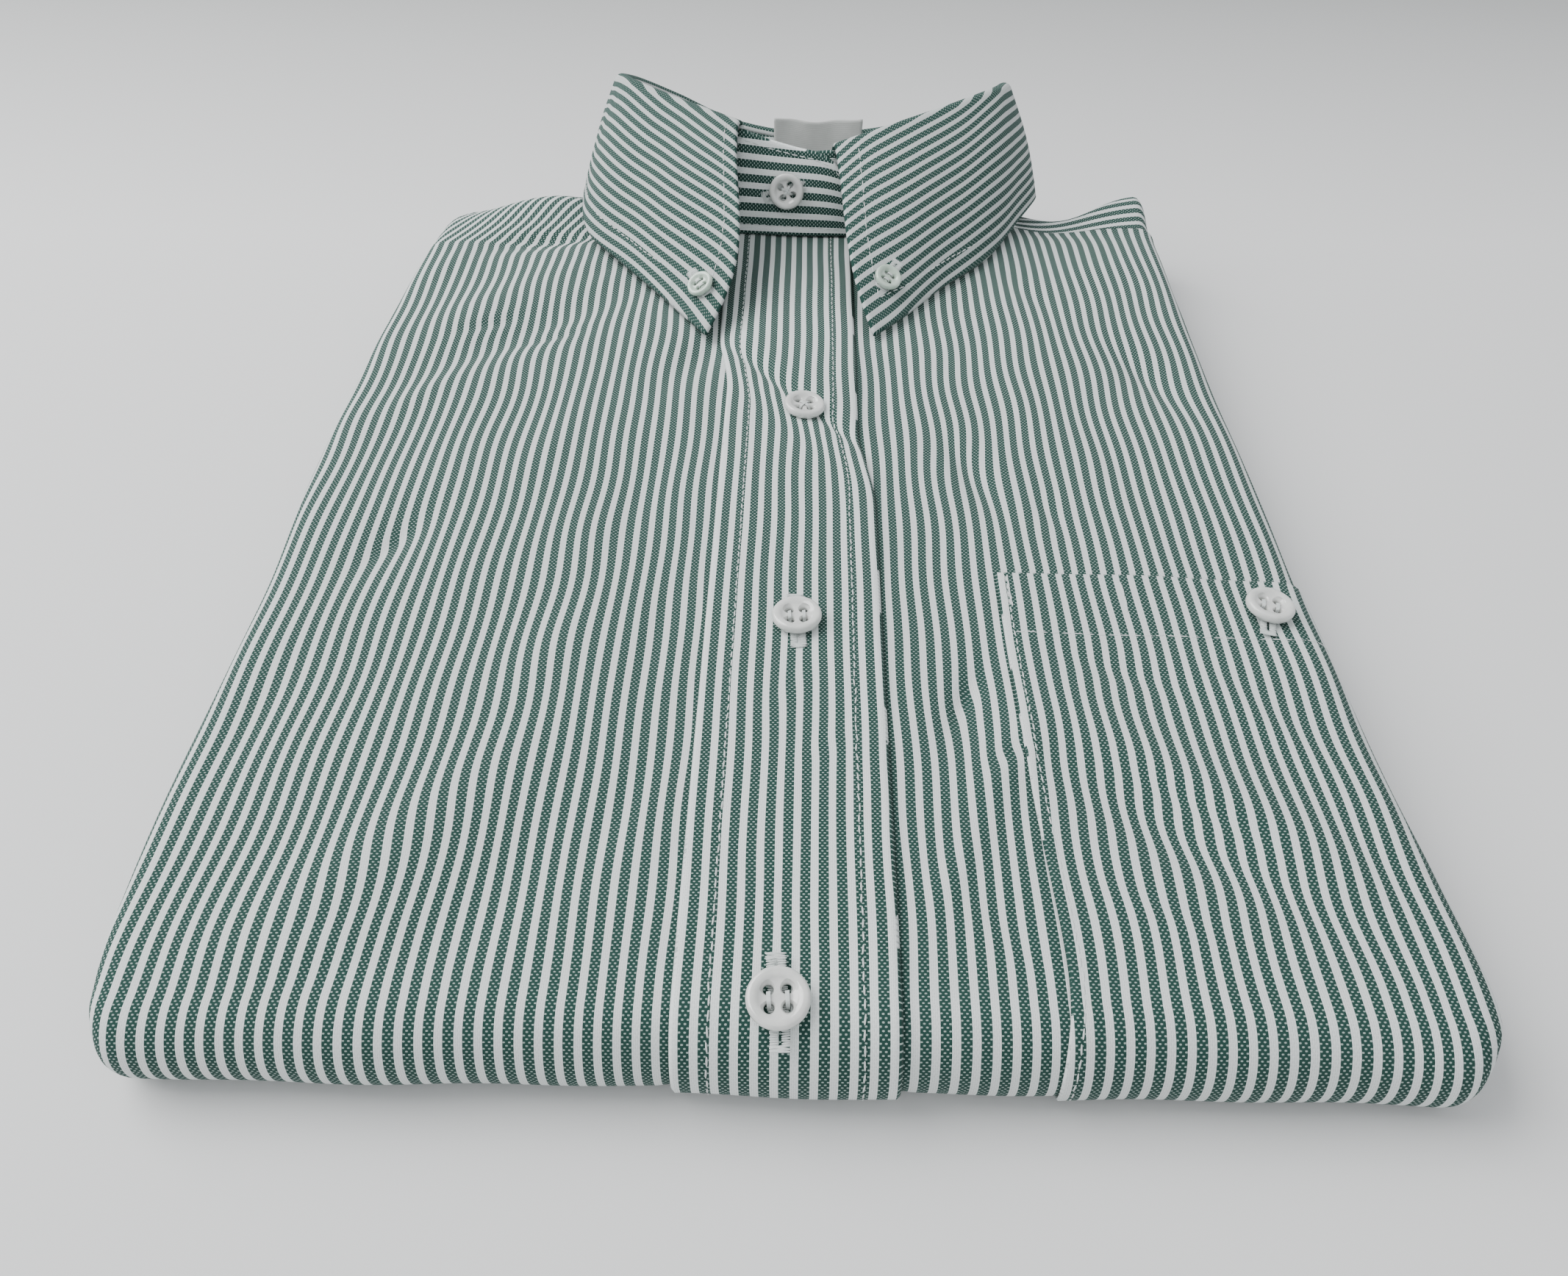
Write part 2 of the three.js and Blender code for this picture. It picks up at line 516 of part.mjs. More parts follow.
/** One section of the collar leaf: up off the band, round the roll, and down to its free edge. */
function leafSection(turn) {
  const top = bandTop(turn);
  const foot = bandFoot(turn, lapInward(turn));
  const up = top.clone().sub(foot).normalize();
  const edge = edgePoint(turn);
  edge.z = Math.max(edge.z, leafFloor(edge) + DOUBLE_CLOTH / 2);
  const ahead = bandTop(Math.min(turn + 1, LEAF_END)).sub(bandTop(Math.max(turn - 1, LEAF_START)));
  const out = ahead.cross(up).normalize();
  const start = top.addScaledVector(up, LEAF_REST);
  const centre = start.clone().addScaledVector(out, LEAF_ROLL);
  const toEdge = edge.clone().sub(centre);
  const fall = Math.atan2(toEdge.dot(up), toEdge.dot(out));
  const endAngle = fall + Math.PI / 2;
  const points = steps(Math.PI, endAngle, ROLL_STEPS).map((angle) => centre.clone()
    .addScaledVector(out, LEAF_ROLL * Math.cos(angle)).addScaledVector(up, LEAF_ROLL * Math.sin(angle)));
  const leave = points.at(-1);
  const along = edge.clone().sub(leave);
  const bulge = out.clone().multiplyScalar(Math.cos(endAngle)).addScaledVector(up, Math.sin(endAngle));
  const bow = LEAF_BOW.left * ease(turn, LEAF_END - 24, LEAF_END)
    - LEAF_BOW.right * (1 - ease(turn, LEAF_START, LEAF_START + 24));
  for (const t of steps(0, 1, FALL_STEPS).slice(1)) {
    const outward = FALL_BULGE * Math.sin(Math.PI * t);
    const point = leave.clone().addScaledVector(along, t).addScaledVector(bulge, outward);
    point.x += bow * Math.sin(Math.PI * t ** 1.5);
    points.push(point);
  }
  return points;
}

/** Height under the leaf's free edge: the chest or the yoke, with the placket where it lies. */
function leafFloor(point) {
  const onBody = point.y < read(SHOULDER, 'x', point.x, 'far') + 2;
  const onPlacket = Math.abs(point.x - PLACKET_X) < PLACKET_WIDTH / 2 + 2;
  return onBody ? chestHeight(point.x, point.y) + (onPlacket ? LIE + CLOTH : 0) + LIE : 0;
}

const leafSections = LEAF_TURNS.map(leafSection);
const leafGrid = leafSections[0].map((_, k) => leafSections.map((section) => section[k]));
const leafNormals = gridNormals(leafGrid);
const leaf = wall(leafGrid, -DOUBLE_CLOTH / 2, DOUBLE_CLOTH / 2, leafNormals);

// ---------------------------------------------------------------- neck label

const LABEL = { from: 74, to: 99.3, low: 0.28, rise: 6.4 };

/** A blank label on the inside of the band at the back of the neck, standing up over the roll. */
function label() {
  const turns = steps(LABEL.from, LABEL.to, 4);
  const grid = steps(0, 1, 3).map((share) => turns.map((turn) => {
    const foot = bandFoot(turn);
    const top = bandTop(turn);
    const tall = top.clone().sub(foot).normalize();
    return foot.lerp(top, mix(LABEL.low, 1, share)).addScaledVector(tall, LABEL.rise * share);
  })).reverse();
  const inside = -DOUBLE_CLOTH / 2 - LIE;
  return wall(grid, inside - LABEL_CLOTH, inside);
}

// ---------------------------------------------------------------- inner layers

const LAYER_ROUND = 3;
const END_SHARES = [0.35, 0.75, 1];
const END_STEP = 1.3;
const END_PULL = 1.6;

/**
 * A folded layer as a loft along Y: flat beneath, its top from `height`, its edges round. Rows near
 * both ends are thinner, so that each layer ends in a soft edge.
 */
function layer({ near, far, sides, low, height, spans, rows }) {
  const start = END_SHARES.map((share, k) => ({ y: near + k * END_STEP, share }));
  const body = steps(near + 4, far - 4, rows).map((y) => ({ y, share: 1 }));
  const finish = END_SHARES.map((share, k) => ({ y: far - k * END_STEP, share })).reverse();
  const ring = ({ y, share }) => {
    const pull = (1 - share) * END_PULL + LAYER_ROUND;
    const [leftSide, rightSide] = sides(y);
    const left = leftSide + pull;
    const right = rightSide - pull;
    const middle = (x) => (height(x, y) + low) / 2;
    const half = (x) => share * (height(x, y) - low) / 2;
    const edge = (x) => (angle) => [x + LAYER_ROUND * Math.cos(degrees(angle)),
      middle(x) + half(x) * Math.sin(degrees(angle))];
    const points = [
      ...steps(left, right, spans).map((x) => [x, middle(x) + half(x)]),
      ...[60, 0, -60].map(edge(right)),
      ...steps(right, left, 3).map((x) => [x, middle(x) - half(x)]),
      ...[240, 180, 120].map(edge(left)),
    ];
    return points.map(([x, z]) => new THREE.Vector3(x, y, z));
  };
  return solidOf(loft([...start, ...body, ...finish].map(ring)));
}

/** A closed solid through rings of as many points each, with a fan over each end. */
function loft(rings) {
  const count = rings[0].length;
  const centre = (ring) => ring.reduce((sum, p) => sum.add(p), new THREE.Vector3()).divideScalar(count);
  const points = [...rings.flat(), centre(rings[0]), centre(rings.at(-1))];
  const faces = [];
  const at = (i, k) => i * count + (k % count);
  for (let k = 0; k < count; k += 1) {
    for (let i = 0; i < rings.length - 1; i += 1) {
      faces.push(at(i, k), at(i + 1, k + 1), at(i + 1, k), at(i, k), at(i, k + 1), at(i + 1, k + 1));
    }
    faces.push(rings.length * count, at(0, k + 1), at(0, k));
    faces.push(rings.length * count + 1, at(rings.length - 1, k), at(rings.length - 1, k + 1));
  }
  const geometry = new THREE.BufferGeometry();
  geometry.setAttribute('position', new THREE.Float32BufferAttribute(points.flatMap((p) => p.toArray()), 3));
  geometry.setIndex(faces);
  return geometry;
}

const CORE_CLEAR = CLOTH + 0.7;
const PAST_TURN = SIDE_ROUND + SIDE_TURN + 2;
const flatTop = (z) => () => z;

/** Height just under the lowest cloth of the chest near a point, read no further back than `end`. */
const underChest = (end) => (x, y) => {
  const near = [-6, 0, 6];
  const heights = near.flatMap((dx) => near.map((dy) => chestHeight(x + dx, Math.min(y + dy, end))));
  return Math.min(...heights) - CORE_CLEAR;
};

/** Both sides of a layer that keeps `inset` in from the body's edges. */
const within = (inset) => (y) => [read(BODY, 'y', y, 'left') + inset, read(BODY, 'y', y, 'right') - inset];

/** How far the neck opening reaches to each side at a y, up to its widest. */
function neckHalf(y) {
  const ahead = Math.min(Math.max((NECK.y - y) / NECK.front, 0), 1);
  return NECK.half * Math.sqrt(1 - ahead * ahead);
}

// The shoulders are filled on each side of the neck opening, this far from it.
const NECK_CLEAR = 3.5;
const CORE_INSET = 6.2;
const beside = (y) => neckHalf(y + NECK_CLEAR / 2) + NECK_CLEAR;
const chest = within(CORE_INSET);
const leftShoulder = (y) => [chest(y)[0], NECK.x - beside(y)];
const rightShoulder = (y) => [NECK.x + beside(y), chest(y)[1]];

// Layers from the lowest up: ends, sides, and the heights they fill.
const LAYERS = [
  { near: -149, far: 139, sides: within(4.4), low: 3.4, height: flatTop(5.6), spans: 3, rows: 4 },
  { near: -149, far: 147, sides: within(4.8), low: 5.2, height: flatTop(7.3), spans: 3, rows: 4 },
  { near: -151, far: 142, sides: within(PAST_TURN), low: 7.0, height: flatTop(9.7), spans: 3, rows: 2 },
  { near: 110, far: 166, sides: within(66), low: 5.4, height: flatTop(9.2), spans: 3, rows: 1 },
  { near: 120, far: 182, sides: within(88), low: 5.0, height: flatTop(8.8), spans: 3, rows: 1 },
  { near: -146, far: 151, sides: within(3.2), low: 9.6, height: flatTop(10.8), spans: 3, rows: 4 },
  { near: -149, far: 138, sides: within(PAST_TURN), low: 10.6, height: flatTop(13.4), spans: 3, rows: 2 },
  { near: -147, far: 124.5, sides: chest, low: 13.2, height: underChest(124), spans: 14, rows: 14 },
  { near: 111, far: 151, sides: leftShoulder, low: 12.6, height: underChest(148), spans: 4, rows: 6 },
  { near: 111, far: 147, sides: rightShoulder, low: 12.6, height: underChest(146), spans: 4, rows: 6 },
];
const innerLayers = geometryOf(LAYERS.map(layer).reduce((all, one) => all.add(one)));

// ---------------------------------------------------------------- buttons

/** A four-hole shirt button, its flat back at z = 0 and its rim raised round a dished middle. */
function button({ across, thick, hole, holeOut }) {
  const r = across / 2;
  const profile = [[0, 0], [r * 0.8, 0], [r * 0.97, thick * 0.3], [r, thick * 0.6], [r * 0.93, thick * 0.92],
    [r * 0.8, thick], [r * 0.66, thick * 0.9], [r * 0.58, thick * 0.68], [0, thick * 0.66]];
  const disc = new THREE.LatheGeometry(profile.map(([x, y]) => new THREE.Vector2(x, y)), 18);
  let solid = solidOf(disc.rotateX(Math.PI / 2));
  for (const [sx, sy] of [[1, 1], [1, -1], [-1, 1], [-1, -1]]) {
    const drill = new THREE.CylinderGeometry(hole, hole, thick * 3, 6).rotateX(Math.PI / 2);
    solid = solid.subtract(solidOf(drill.translate(sx * holeOut, sy * holeOut, 0)));
  }
  return geometryOf(solid);
}

const BUTTON_SHAPE = button(BUTTON);
const POINT_BUTTON_SHAPE = button(POINT_BUTTON);

// ---------------------------------------------------------------- the shirt

const shirt = new THREE.Group();

/** Adds a named piece with its own material. */
function add(name, geometry, color, roughness = 0.9) {
  const mesh = new THREE.Mesh(geometry, new THREE.MeshStandardMaterial({ color, roughness, metalness: 0 }));
  mesh.name = name;
  shirt.add(mesh);
  return mesh;
}

/** Adds a button lying on a point, facing along a normal. */
function addButton(name, shape, point, normal, color) {
  const mesh = add(name, shape.clone(), color, 0.25);
  mesh.position.copy(point).addScaledVector(normal, BUTTON_LIFT);
  mesh.quaternion.setFromUnitVectors(new THREE.Vector3(0, 0, 1), normal);
}

/** The chest's upward normal. */
function chestNormal(x, y) {
  const reach = 4;
  const slopeX = (chestHeight(x + reach, y) - chestHeight(x - reach, y)) / (2 * reach);
  const slopeY = (chestHeight(x, y + reach) - chestHeight(x, Math.max(y - reach, FOLD_Y))) / (2 * reach);
  return new THREE.Vector3(-slopeX, -slopeY, 1).normalize();
}

add('inner_layers', innerLayers, COLOURS.inside);
add('front_left', frontLeft, COLOURS.cloth);
add('front_right', frontRight, COLOURS.cloth);
add('placket', placket(), COLOURS.trim);
add('pocket', pocket, COLOURS.trim);
add('yoke', yoke(), COLOURS.cloth);
add('collar_band', band, COLOURS.trim);
add('collar_leaf', leaf, COLOURS.cloth);
add('neck_label', label(), COLOURS.label);

/** Adds a button on the chest, over a strip of cloth of some thickness that lies there. */
function addChestButton(name, { x, y, lean = 0 }, cloth) {
  const normal = chestNormal(x, y).applyAxisAngle(new THREE.Vector3(1, 0, 0), THREE.MathUtils.degToRad(lean));
  const seat = new THREE.Vector3(x, y, chestHeight(x, y)).addScaledVector(normal, LIE + cloth);
  addButton(name, BUTTON_SHAPE, seat, normal, COLOURS.pearl);
}

PLACKET_BUTTONS.forEach((seat, k) => addChestButton(`button_placket_${k + 1}`, seat, CLOTH));
addChestButton('button_pocket', POCKET_BUTTON, POCKET_CLOTH);

/** The point of a grid and its outward normal, between its rows and columns. */
function onGrid(grid, normals, row, column) {
  const i = Math.floor(row);
  const j = Math.floor(column);
  const blend = (source) => {
    const first = source[i][j].clone().lerp(source[i][j + 1], column - j);
    const second = source[i + 1][j].clone().lerp(source[i + 1][j + 1], column - j);
    return first.lerp(second, row - i);
  };
  return { point: blend(grid), normal: blend(normals).normalize() };
}

const BAND_BUTTON_TURN = 264.5;
const BAND_MIDDLE_ROW = 1;
const bandColumn = BAND_TURNS.findIndex((turn) => turn > BAND_BUTTON_TURN);
const bandSeat = onGrid(bandGrid, bandNormals, BAND_MIDDLE_ROW, bandColumn);
addButton('button_band', BUTTON_SHAPE,
  bandSeat.point.addScaledVector(bandSeat.normal, DOUBLE_CLOTH / 2), bandSeat.normal, COLOURS.pearl);

// The collar points are buttoned down near their tips: share of the way to the edge, and columns from an end.
const POINT_SEATS = [
  { name: 'right', down: 0.78, column: 0.92 },
  { name: 'left', down: 0.82, column: LEAF_TURNS.length - 1 - 0.48 },
];
for (const { name, down, column } of POINT_SEATS) {
  const seat = onGrid(leafGrid, leafNormals, ROLL_STEPS + FALL_STEPS * down, column);
  addButton(`button_point_${name}`, POINT_BUTTON_SHAPE,
    seat.point.addScaledVector(seat.normal, DOUBLE_CLOTH / 2), seat.normal, COLOURS.point);
}

// The origin is under the middle of the whole folded shirt, on the surface it lies on.
shirt.updateMatrixWorld(true);
const box = new THREE.Box3().setFromObject(shirt, true);
const middle = box.getCenter(new THREE.Vector3());
shirt.position.set(-middle.x, -middle.y, -box.min.z);

const part = new THREE.Group();
part.add(shirt);

export default part;
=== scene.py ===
"""A striped short-sleeve shirt with a button-down collar, folded for the shelf and lying front up."""

import bpy
import numpy as np
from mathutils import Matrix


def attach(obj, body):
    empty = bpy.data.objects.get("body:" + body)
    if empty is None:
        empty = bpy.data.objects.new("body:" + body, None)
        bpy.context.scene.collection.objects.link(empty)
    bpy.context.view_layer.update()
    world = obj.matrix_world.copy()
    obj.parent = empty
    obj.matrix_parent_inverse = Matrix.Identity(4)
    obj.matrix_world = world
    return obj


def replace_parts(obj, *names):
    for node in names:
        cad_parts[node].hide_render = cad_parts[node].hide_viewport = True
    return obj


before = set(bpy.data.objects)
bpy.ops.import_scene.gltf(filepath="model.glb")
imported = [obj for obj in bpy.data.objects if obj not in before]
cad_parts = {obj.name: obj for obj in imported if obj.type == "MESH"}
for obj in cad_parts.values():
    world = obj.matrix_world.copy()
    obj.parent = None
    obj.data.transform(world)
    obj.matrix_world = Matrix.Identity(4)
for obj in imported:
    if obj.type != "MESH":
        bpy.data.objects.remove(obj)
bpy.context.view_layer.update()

# Sizes are worked out in millimetres in the shirt's own frame, which ROW_SHIFT moves to the row's.
MM = 0.001
ROW_SHIFT = np.array([0.770, -25.485, 0.0])

# The stack's half height, the slit's where the sheet turns in, the sides' round, and the cloth turned in there.
HEART, SLIT, SIDE_ROUND, SIDE_TURN = 10.2, 1.0, 6.5, 11.0
FOLD_Y, FOLD_REACH, HEM_Y, EDGE_DROP = -151.0, 9.3, 143.0, 2.2
PLACKET_X, PLACKET_WIDTH, LAP_X = 0.9, 38.5, -14.0
# How far aside of the pattern's middle each front was cut.
LAP_STRIPE = 0.25
GROOVE, GROOVE_EDGE = 1.6, 3.5
# The pocket's edges, its lower end by the fold's turn, and its columns round the shirt's side.
POCKET_LEFT, POCKET_TOP, POCKET_HEM_Y, POCKET_END, POCKET_ROUND = 48.5, -39.5, -59.3, -55.0, 12
NECK_X, NECK_Y, NECK_HALF, NECK_FRONT, NECK_BACK = 3.0, 147.0, 68.0, 20.5, 29.0
BAND_OUT, BAND_REST = 3.0, 0.8
LEAF_REST, LEAF_ROLL, LEAF_THICK, FALL_BULGE = 0.5, 1.9, 1.7, 1.6
FAR_ROUND, SHOULDER_X = 9.0, 118.0
BLEND_Y = 98.0
SHOULDER_BEND, SHOULDER_SLANT = 124.0, 0.55
LIE, CLOTH, POCKET_CLOTH, SHEET = 0.35, 1.2, 1.0, 0.7
# The faces of each wall, by how far they stand off its grid.
PLACKET_WALL, POCKET_WALL, LABEL_WALL = (0.35, 1.45), (0.12, 0.85), (-2.0, -1.3)
BAND_WALL, LEAF_WALL = (-0.6, 0.6), (-0.7, 0.7)
STRIPE = 3.4
# Spacing of the cloth's rows and columns, how much length the rows at the neck and round the near fold stand
# for, and how many rows run back beneath.
FINE, NECK_SPAN, FOLD_SPAN, UNDER_ROWS = 1.25, 48, 34, 26
# How high the cloth's small waves stand, and how far they push its stripes aside.
RIPPLE_RISE, RIPPLE_SLIP = 0.22, 0.32


def table(names, *rows):
    """Columns of a table as arrays by name."""
    return dict(zip(names.split(), np.array(rows, float).T))


BODY = table(
    "y left right top",
    (-165, -118, 118.4, 19.9), (-150, -121.5, 123.9, 20.7), (-136, -123.7, 124.3, 21.4), (-100, -125.2, 121.6, 22),
    (-45, -124.8, 120.5, 22.8), (0, -127, 120.5, 23.8), (45, -127.2, 120, 24.8), (90, -126, 120, 26.2),
    (127, -123.4, 120.4, 27.6), (150, -121.2, 121, 25), (182, -118, 119.5, 13))

SHOULDER = table(
    "x seam far low",
    (-128, 148, 157, 11.2), (-112, 150.5, 160, 11.2), (-84, 150, 165, 11.2), (-62, 148, 172, 9),
    (-35, 147, 186, 4.5), (3, 147, 190, 3.5), (40, 147, 184, 4.5), (68, 143.5, 166, 9), (90, 139.5, 155, 11.2),
    (114, 138.5, 161, 11.2), (128, 138, 159, 11.2))

# Soft ridges and troughs of the chest: middle, half length, half width, turn, rise, and how far the
# cloth's stripes slip sideways across each.
FOLDS = table(
    "x y long wide turn rise slip",
    (-84, 149, 24, 11, 8, 6.5, 0), (-84, 125, 17, 5.5, 12, -2.4, 1.2), (83, 142, 17, 11, -6, -3.4, 0.5),
    (122, 153, 28, 10, 4, 9.3, 0), (-84, 66, 36, 7.5, 40, -1.7, 1), (-96, 82, 26, 9, 42, 1.3, 0.6),
    (-97, -27, 14, 7, 60, -1.6, 0.8), (-74, -118, 36, 9, 49, 1.5, 1.1), (-52, -128, 26, 9, 56, -1.2, 0.5),
    (38, -80, 13, 5, 70, -1.5, 0.6), (44, -98, 14, 5, 60, 1.3, 0.5), (76, -116, 28, 7, -36, -1.8, 1.4),
    (84, -104, 30, 8, -38, 1.4, 0.6), (46, 0, 18, 6, -74, -1.3, 1), (100, 50, 20, 7, -66, -1.4, 0.6),
    (-26, 58, 20, 6, 62, -1.6, 0))

# The finer creases, by the same columns.
CREASES = table(
    "x y long wide turn rise slip",
    (-92, 73, 9, 2.2, 28, -0.8, 1.3), (-72, 66, 10, 2.4, 18, -0.7, 1.2), (-82, 128, 14, 2, 4, -1, 1.6),
    (-104, 36, 12, 4, 52, 0.6, 0.5), (-97, -27, 8, 2.2, 58, -0.6, 1), (-64, 12, 22, 5, 74, 0.5, 0.6),
    (-40, -20, 26, 4, 80, -0.5, 0.4), (-52, -66, 22, 5, 66, 0.5, 0.6), (-112, -84, 20, 4, 78, -0.5, 0.5),
    (-88, -146, 16, 4, 30, 0.6, 0.5), (-33, -112, 14, 3.5, 70, -0.7, 0.7), (-30, -60, 16, 3, 84, -0.5, 0.5),
    (37.6, -79, 7, 1.8, 66, -0.7, 1.4), (45, -95, 6, 1.8, 42, -0.6, 1.3), (32, -124, 12, 3, 64, 0.6, 0.9),
    (41, -138, 9, 3, -60, -0.5, 0.7), (64.5, -16, 8, 2.4, -68, -0.6, 1.1), (100, 50, 14, 2.8, -70, -0.7, 0.8),
    (46, 0, 16, 2.6, -72, -0.6, 1), (62, 34, 18, 4, -80, 0.5, 0.6), (84, 8, 20, 4, -74, -0.5, 0.5),
    (112, 92, 16, 4, -76, 0.6, 0.5), (70, 96, 14, 4, -60, -0.7, 0.5), (-60, 106, 12, 4, 40, -0.6, 0.6),
    (-112, 110, 14, 4, 66, 0.6, 0.6), (72, -72, 12, 3, -24, -0.5, 0.9), (98, -84, 18, 3.5, -52, 0.6, 0.8),
    (112, -120, 16, 4, -64, -0.6, 0.7), (66, -134, 12, 3, -30, 0.5, 0.8), (80, -108, 16, 2.6, -37, -0.7, 1.2))

# The collar by turn round the neck: where it rolls over the band, and where its free edge lies.
COLLAR = table(
    "turn rollX rollY rollZ edgeX edgeY edgeZ",
    (-83.5, 11, 129, 55, 22.9, 64, 27.3), (-69, 26, 134, 58, 31.8, 74.7, 27.5), (-48, 45.5, 145, 60, 44.2, 91.9, 28),
    (-27, 60, 156, 61, 60.4, 111.5, 28.5), (-9, 65, 162.5, 60.8, 72.5, 136.4, 29),
    (6, 66.2, 168, 59.4, 81, 155.5, 29), (25, 63.2, 174, 55, 80.5, 176, 20), (48, 50.5, 180.5, 46.5, 63.5, 198, 9.5),
    (70, 29, 185, 38.6, 35, 208, 5), (90, 3, 187, 35.6, 3, 212, 4), (110, -22, 187, 39.8, -27, 210, 5.5),
    (132, -42, 183, 50.2, -51.5, 201, 10), (154, -54, 175.5, 58, -68.5, 187, 17),
    (174, -58, 168.5, 61.4, -74, 168, 23.5), (189, -55, 162.5, 61.8, -72, 140, 31.5),
    (205, -46.8, 154, 61.6, -67.5, 121.2, 31), (222, -37.2, 146, 61.2, -55.6, 104.7, 29.5),
    (239, -27, 138.5, 60.8, -38, 80.6, 28), (252, -18, 133, 60, -26.5, 63.5, 27.3))
BAND_OVER = table(
    "turn x y z",
    (252, -18, 133, 60), (258, -11.5, 133.2, 57.3), (267, -0.5, 131.6, 54.7), (273, 7, 129.4, 53.7),
    (277.5, 12.5, 127, 50.5), (281, 16.5, 125.7, 43.6))
BAND_UNDER_TURN, BAND_OVER_TURN = -102.0, 281.0
BAND_UNDER = np.array([-12.0, 135.5, 51.0])
LAP_GAP, LAP_FROM, LAP_TO = 2.2, -76.0, -30.0
# How much of the cloth's width the band's height takes, how wide the leaf hangs, and its steps round the roll
# and down.
BAND_STRIPED, LEAF_WIDE, ROLL_STEPS, FALL_STEPS = 24.0, 45.0, 12, 51
LEAF_START, LEAF_END = -83.5, 252.0
LEAF_BOW_LEFT, LEAF_BOW_RIGHT = 6.3, 2.6
LABEL_TURNS, LABEL_LOW, LABEL_RISE, LABEL_TALL = (76, 99.3), 0.28, 6.4, 26

# Where the chest's buttons sit, and how they lean towards -Y and roll towards +X, in degrees.
PLACKET_BUTTONS = ((2.4, 26.8, 0, 8), (1.6, -57.7, 0, 0), (-0.5, -151.6, 9, 0))
POCKET_BUTTON = (108.6, -50.6, 0, 5)


# ---- curves and surfaces

def read(rows, at, column):
    """A column where a table's first column is `at`: a cubic, each row's slope taken from its neighbours."""
    keys, values = next(iter(rows.values())), rows[column]
    at = np.clip(np.asarray(at, float), keys[0], keys[-1])
    before, after = np.r_[0, np.arange(len(keys) - 1)], np.r_[np.arange(1, len(keys)), len(keys) - 1]
    slope = (values[after] - values[before]) / (keys[after] - keys[before])
    k = np.clip(np.searchsorted(keys, at, side="right") - 1, 0, len(keys) - 2)
    span = keys[k + 1] - keys[k]
    t = (at - keys[k]) / span
    return ((2 * t ** 3 - 3 * t ** 2 + 1) * values[k] + (t ** 3 - 2 * t ** 2 + t) * span * slope[k]
            + (3 * t ** 2 - 2 * t ** 3) * values[k + 1] + (t ** 3 - t ** 2) * span * slope[k + 1])


def ease(value, low, high):
    """0 below `low`, 1 above `high`, and 3t² - 2t³ between."""
    t = np.clip((np.asarray(value, float) - low) / (high - low), 0, 1)
    return t * t * (3 - 2 * t)


def mix(a, b, t):
    return a + (b - a) * t


def unit(vectors):
    return vectors / np.maximum(np.linalg.norm(vectors, axis=-1, keepdims=True), 1e-12)


def steps(points, axis=0):
    """Distances between neighbouring points of a line or a grid."""
    return np.linalg.norm(np.diff(points, axis=axis), axis=-1)


def run(points):
    """Distance along a line of points from its first."""
    return np.r_[0, np.cumsum(steps(points))]


def together(*values):
    """Values of shapes that fit each other, as one array of points or UV pairs."""
    return np.stack(np.broadcast_arrays(*values), -1)


def spun(across, along, degrees):
    """Two axes turned in their own plane."""
    angle = np.radians(degrees)
    return across * np.cos(angle) + along * np.sin(angle), along * np.cos(angle) - across * np.sin(angle)


def folds_at(rows, x, y):
    """For each fold, how far a point is along and across it, as shares of its half length and half width."""
    for k in range(len(rows["x"])):
        along, across = spun(x - rows["x"][k], y - rows["y"][k], rows["turn"][k])
        yield k, along / rows["long"][k], across / rows["wide"][k]


RNG = np.random.default_rng(11)
RIPPLES = [(RNG.uniform(0, np.pi), RNG.uniform(26, 74), RNG.uniform(0, 2 * np.pi)) for _ in range(18)]


def ripple(x, y, first, last):
    """A mean of plane waves, each of its own heading, length and phase."""
    waves = [np.sin((x * np.cos(turn) + y * np.sin(turn)) * 2 * np.pi / length + phase)
             for turn, length, phase in RIPPLES[first:last]]
    return sum(waves) / len(waves) ** 0.5


def chest_height(x, y):
    """The middle's height less EDGE_DROP |out|³, with a Gaussian for each fold and crease, and ripples."""
    left, right = read(BODY, y, "left"), read(BODY, y, "right")
    out = np.clip((2 * x - left - right) / (right - left), -1.05, 1.05)
    height = read(BODY, y, "top") - EDGE_DROP * np.abs(out) ** 3
    calm = ease(y, FOLD_Y, FOLD_Y + 12)
    for rows in (FOLDS, CREASES):
        for k, along, across in folds_at(rows, x, y):
            height = height + calm * rows["rise"][k] * np.exp(-along ** 2 - across ** 2)
    height = height + RIPPLE_RISE * ripple(x, y, 0, 9) * mix(0.4, 1, calm)
    # Under the collar's points the placket's top is drawn aside and dips into one slanting crease.
    past = past_step(x, y)
    near = np.exp(-((x - 1) / 19) ** 4) * (1 - ease(y, 92, 112))
    return height + near * (0.8 * ease(past, 0, 9) - 0.9 * np.exp(-((past - 1.0) / 2.6) ** 2))


def past_step(x, y):
    """How far a point lies beyond the slanting crease that crosses the placket at its top button."""
    return (y - 31 + 1.33 * x) / 1.66


def slip(x, y):
    """How far the stripes lie aside of straight: across each fold by a Gaussian's slope, with ripples."""
    aside = RIPPLE_SLIP * ripple(x, y, 9, 18)
    for rows, share, spread in ((FOLDS, 0.8, 1.0), (CREASES, 0.5, 1.7)):
        for k, along, across in folds_at(rows, x, y):
            across = across / spread
            aside = aside + share * rows["slip"][k] * across * np.exp(-along ** 2 - across ** 2)
    return aside


def groove_lift(x):
    """How far the lower half is lifted where the placket lies under it."""
    return GROOVE * (1 - ease(np.abs(x - PLACKET_X), PLACKET_WIDTH / 2 + 0.6, PLACKET_WIDTH / 2 + GROOVE_EDGE))


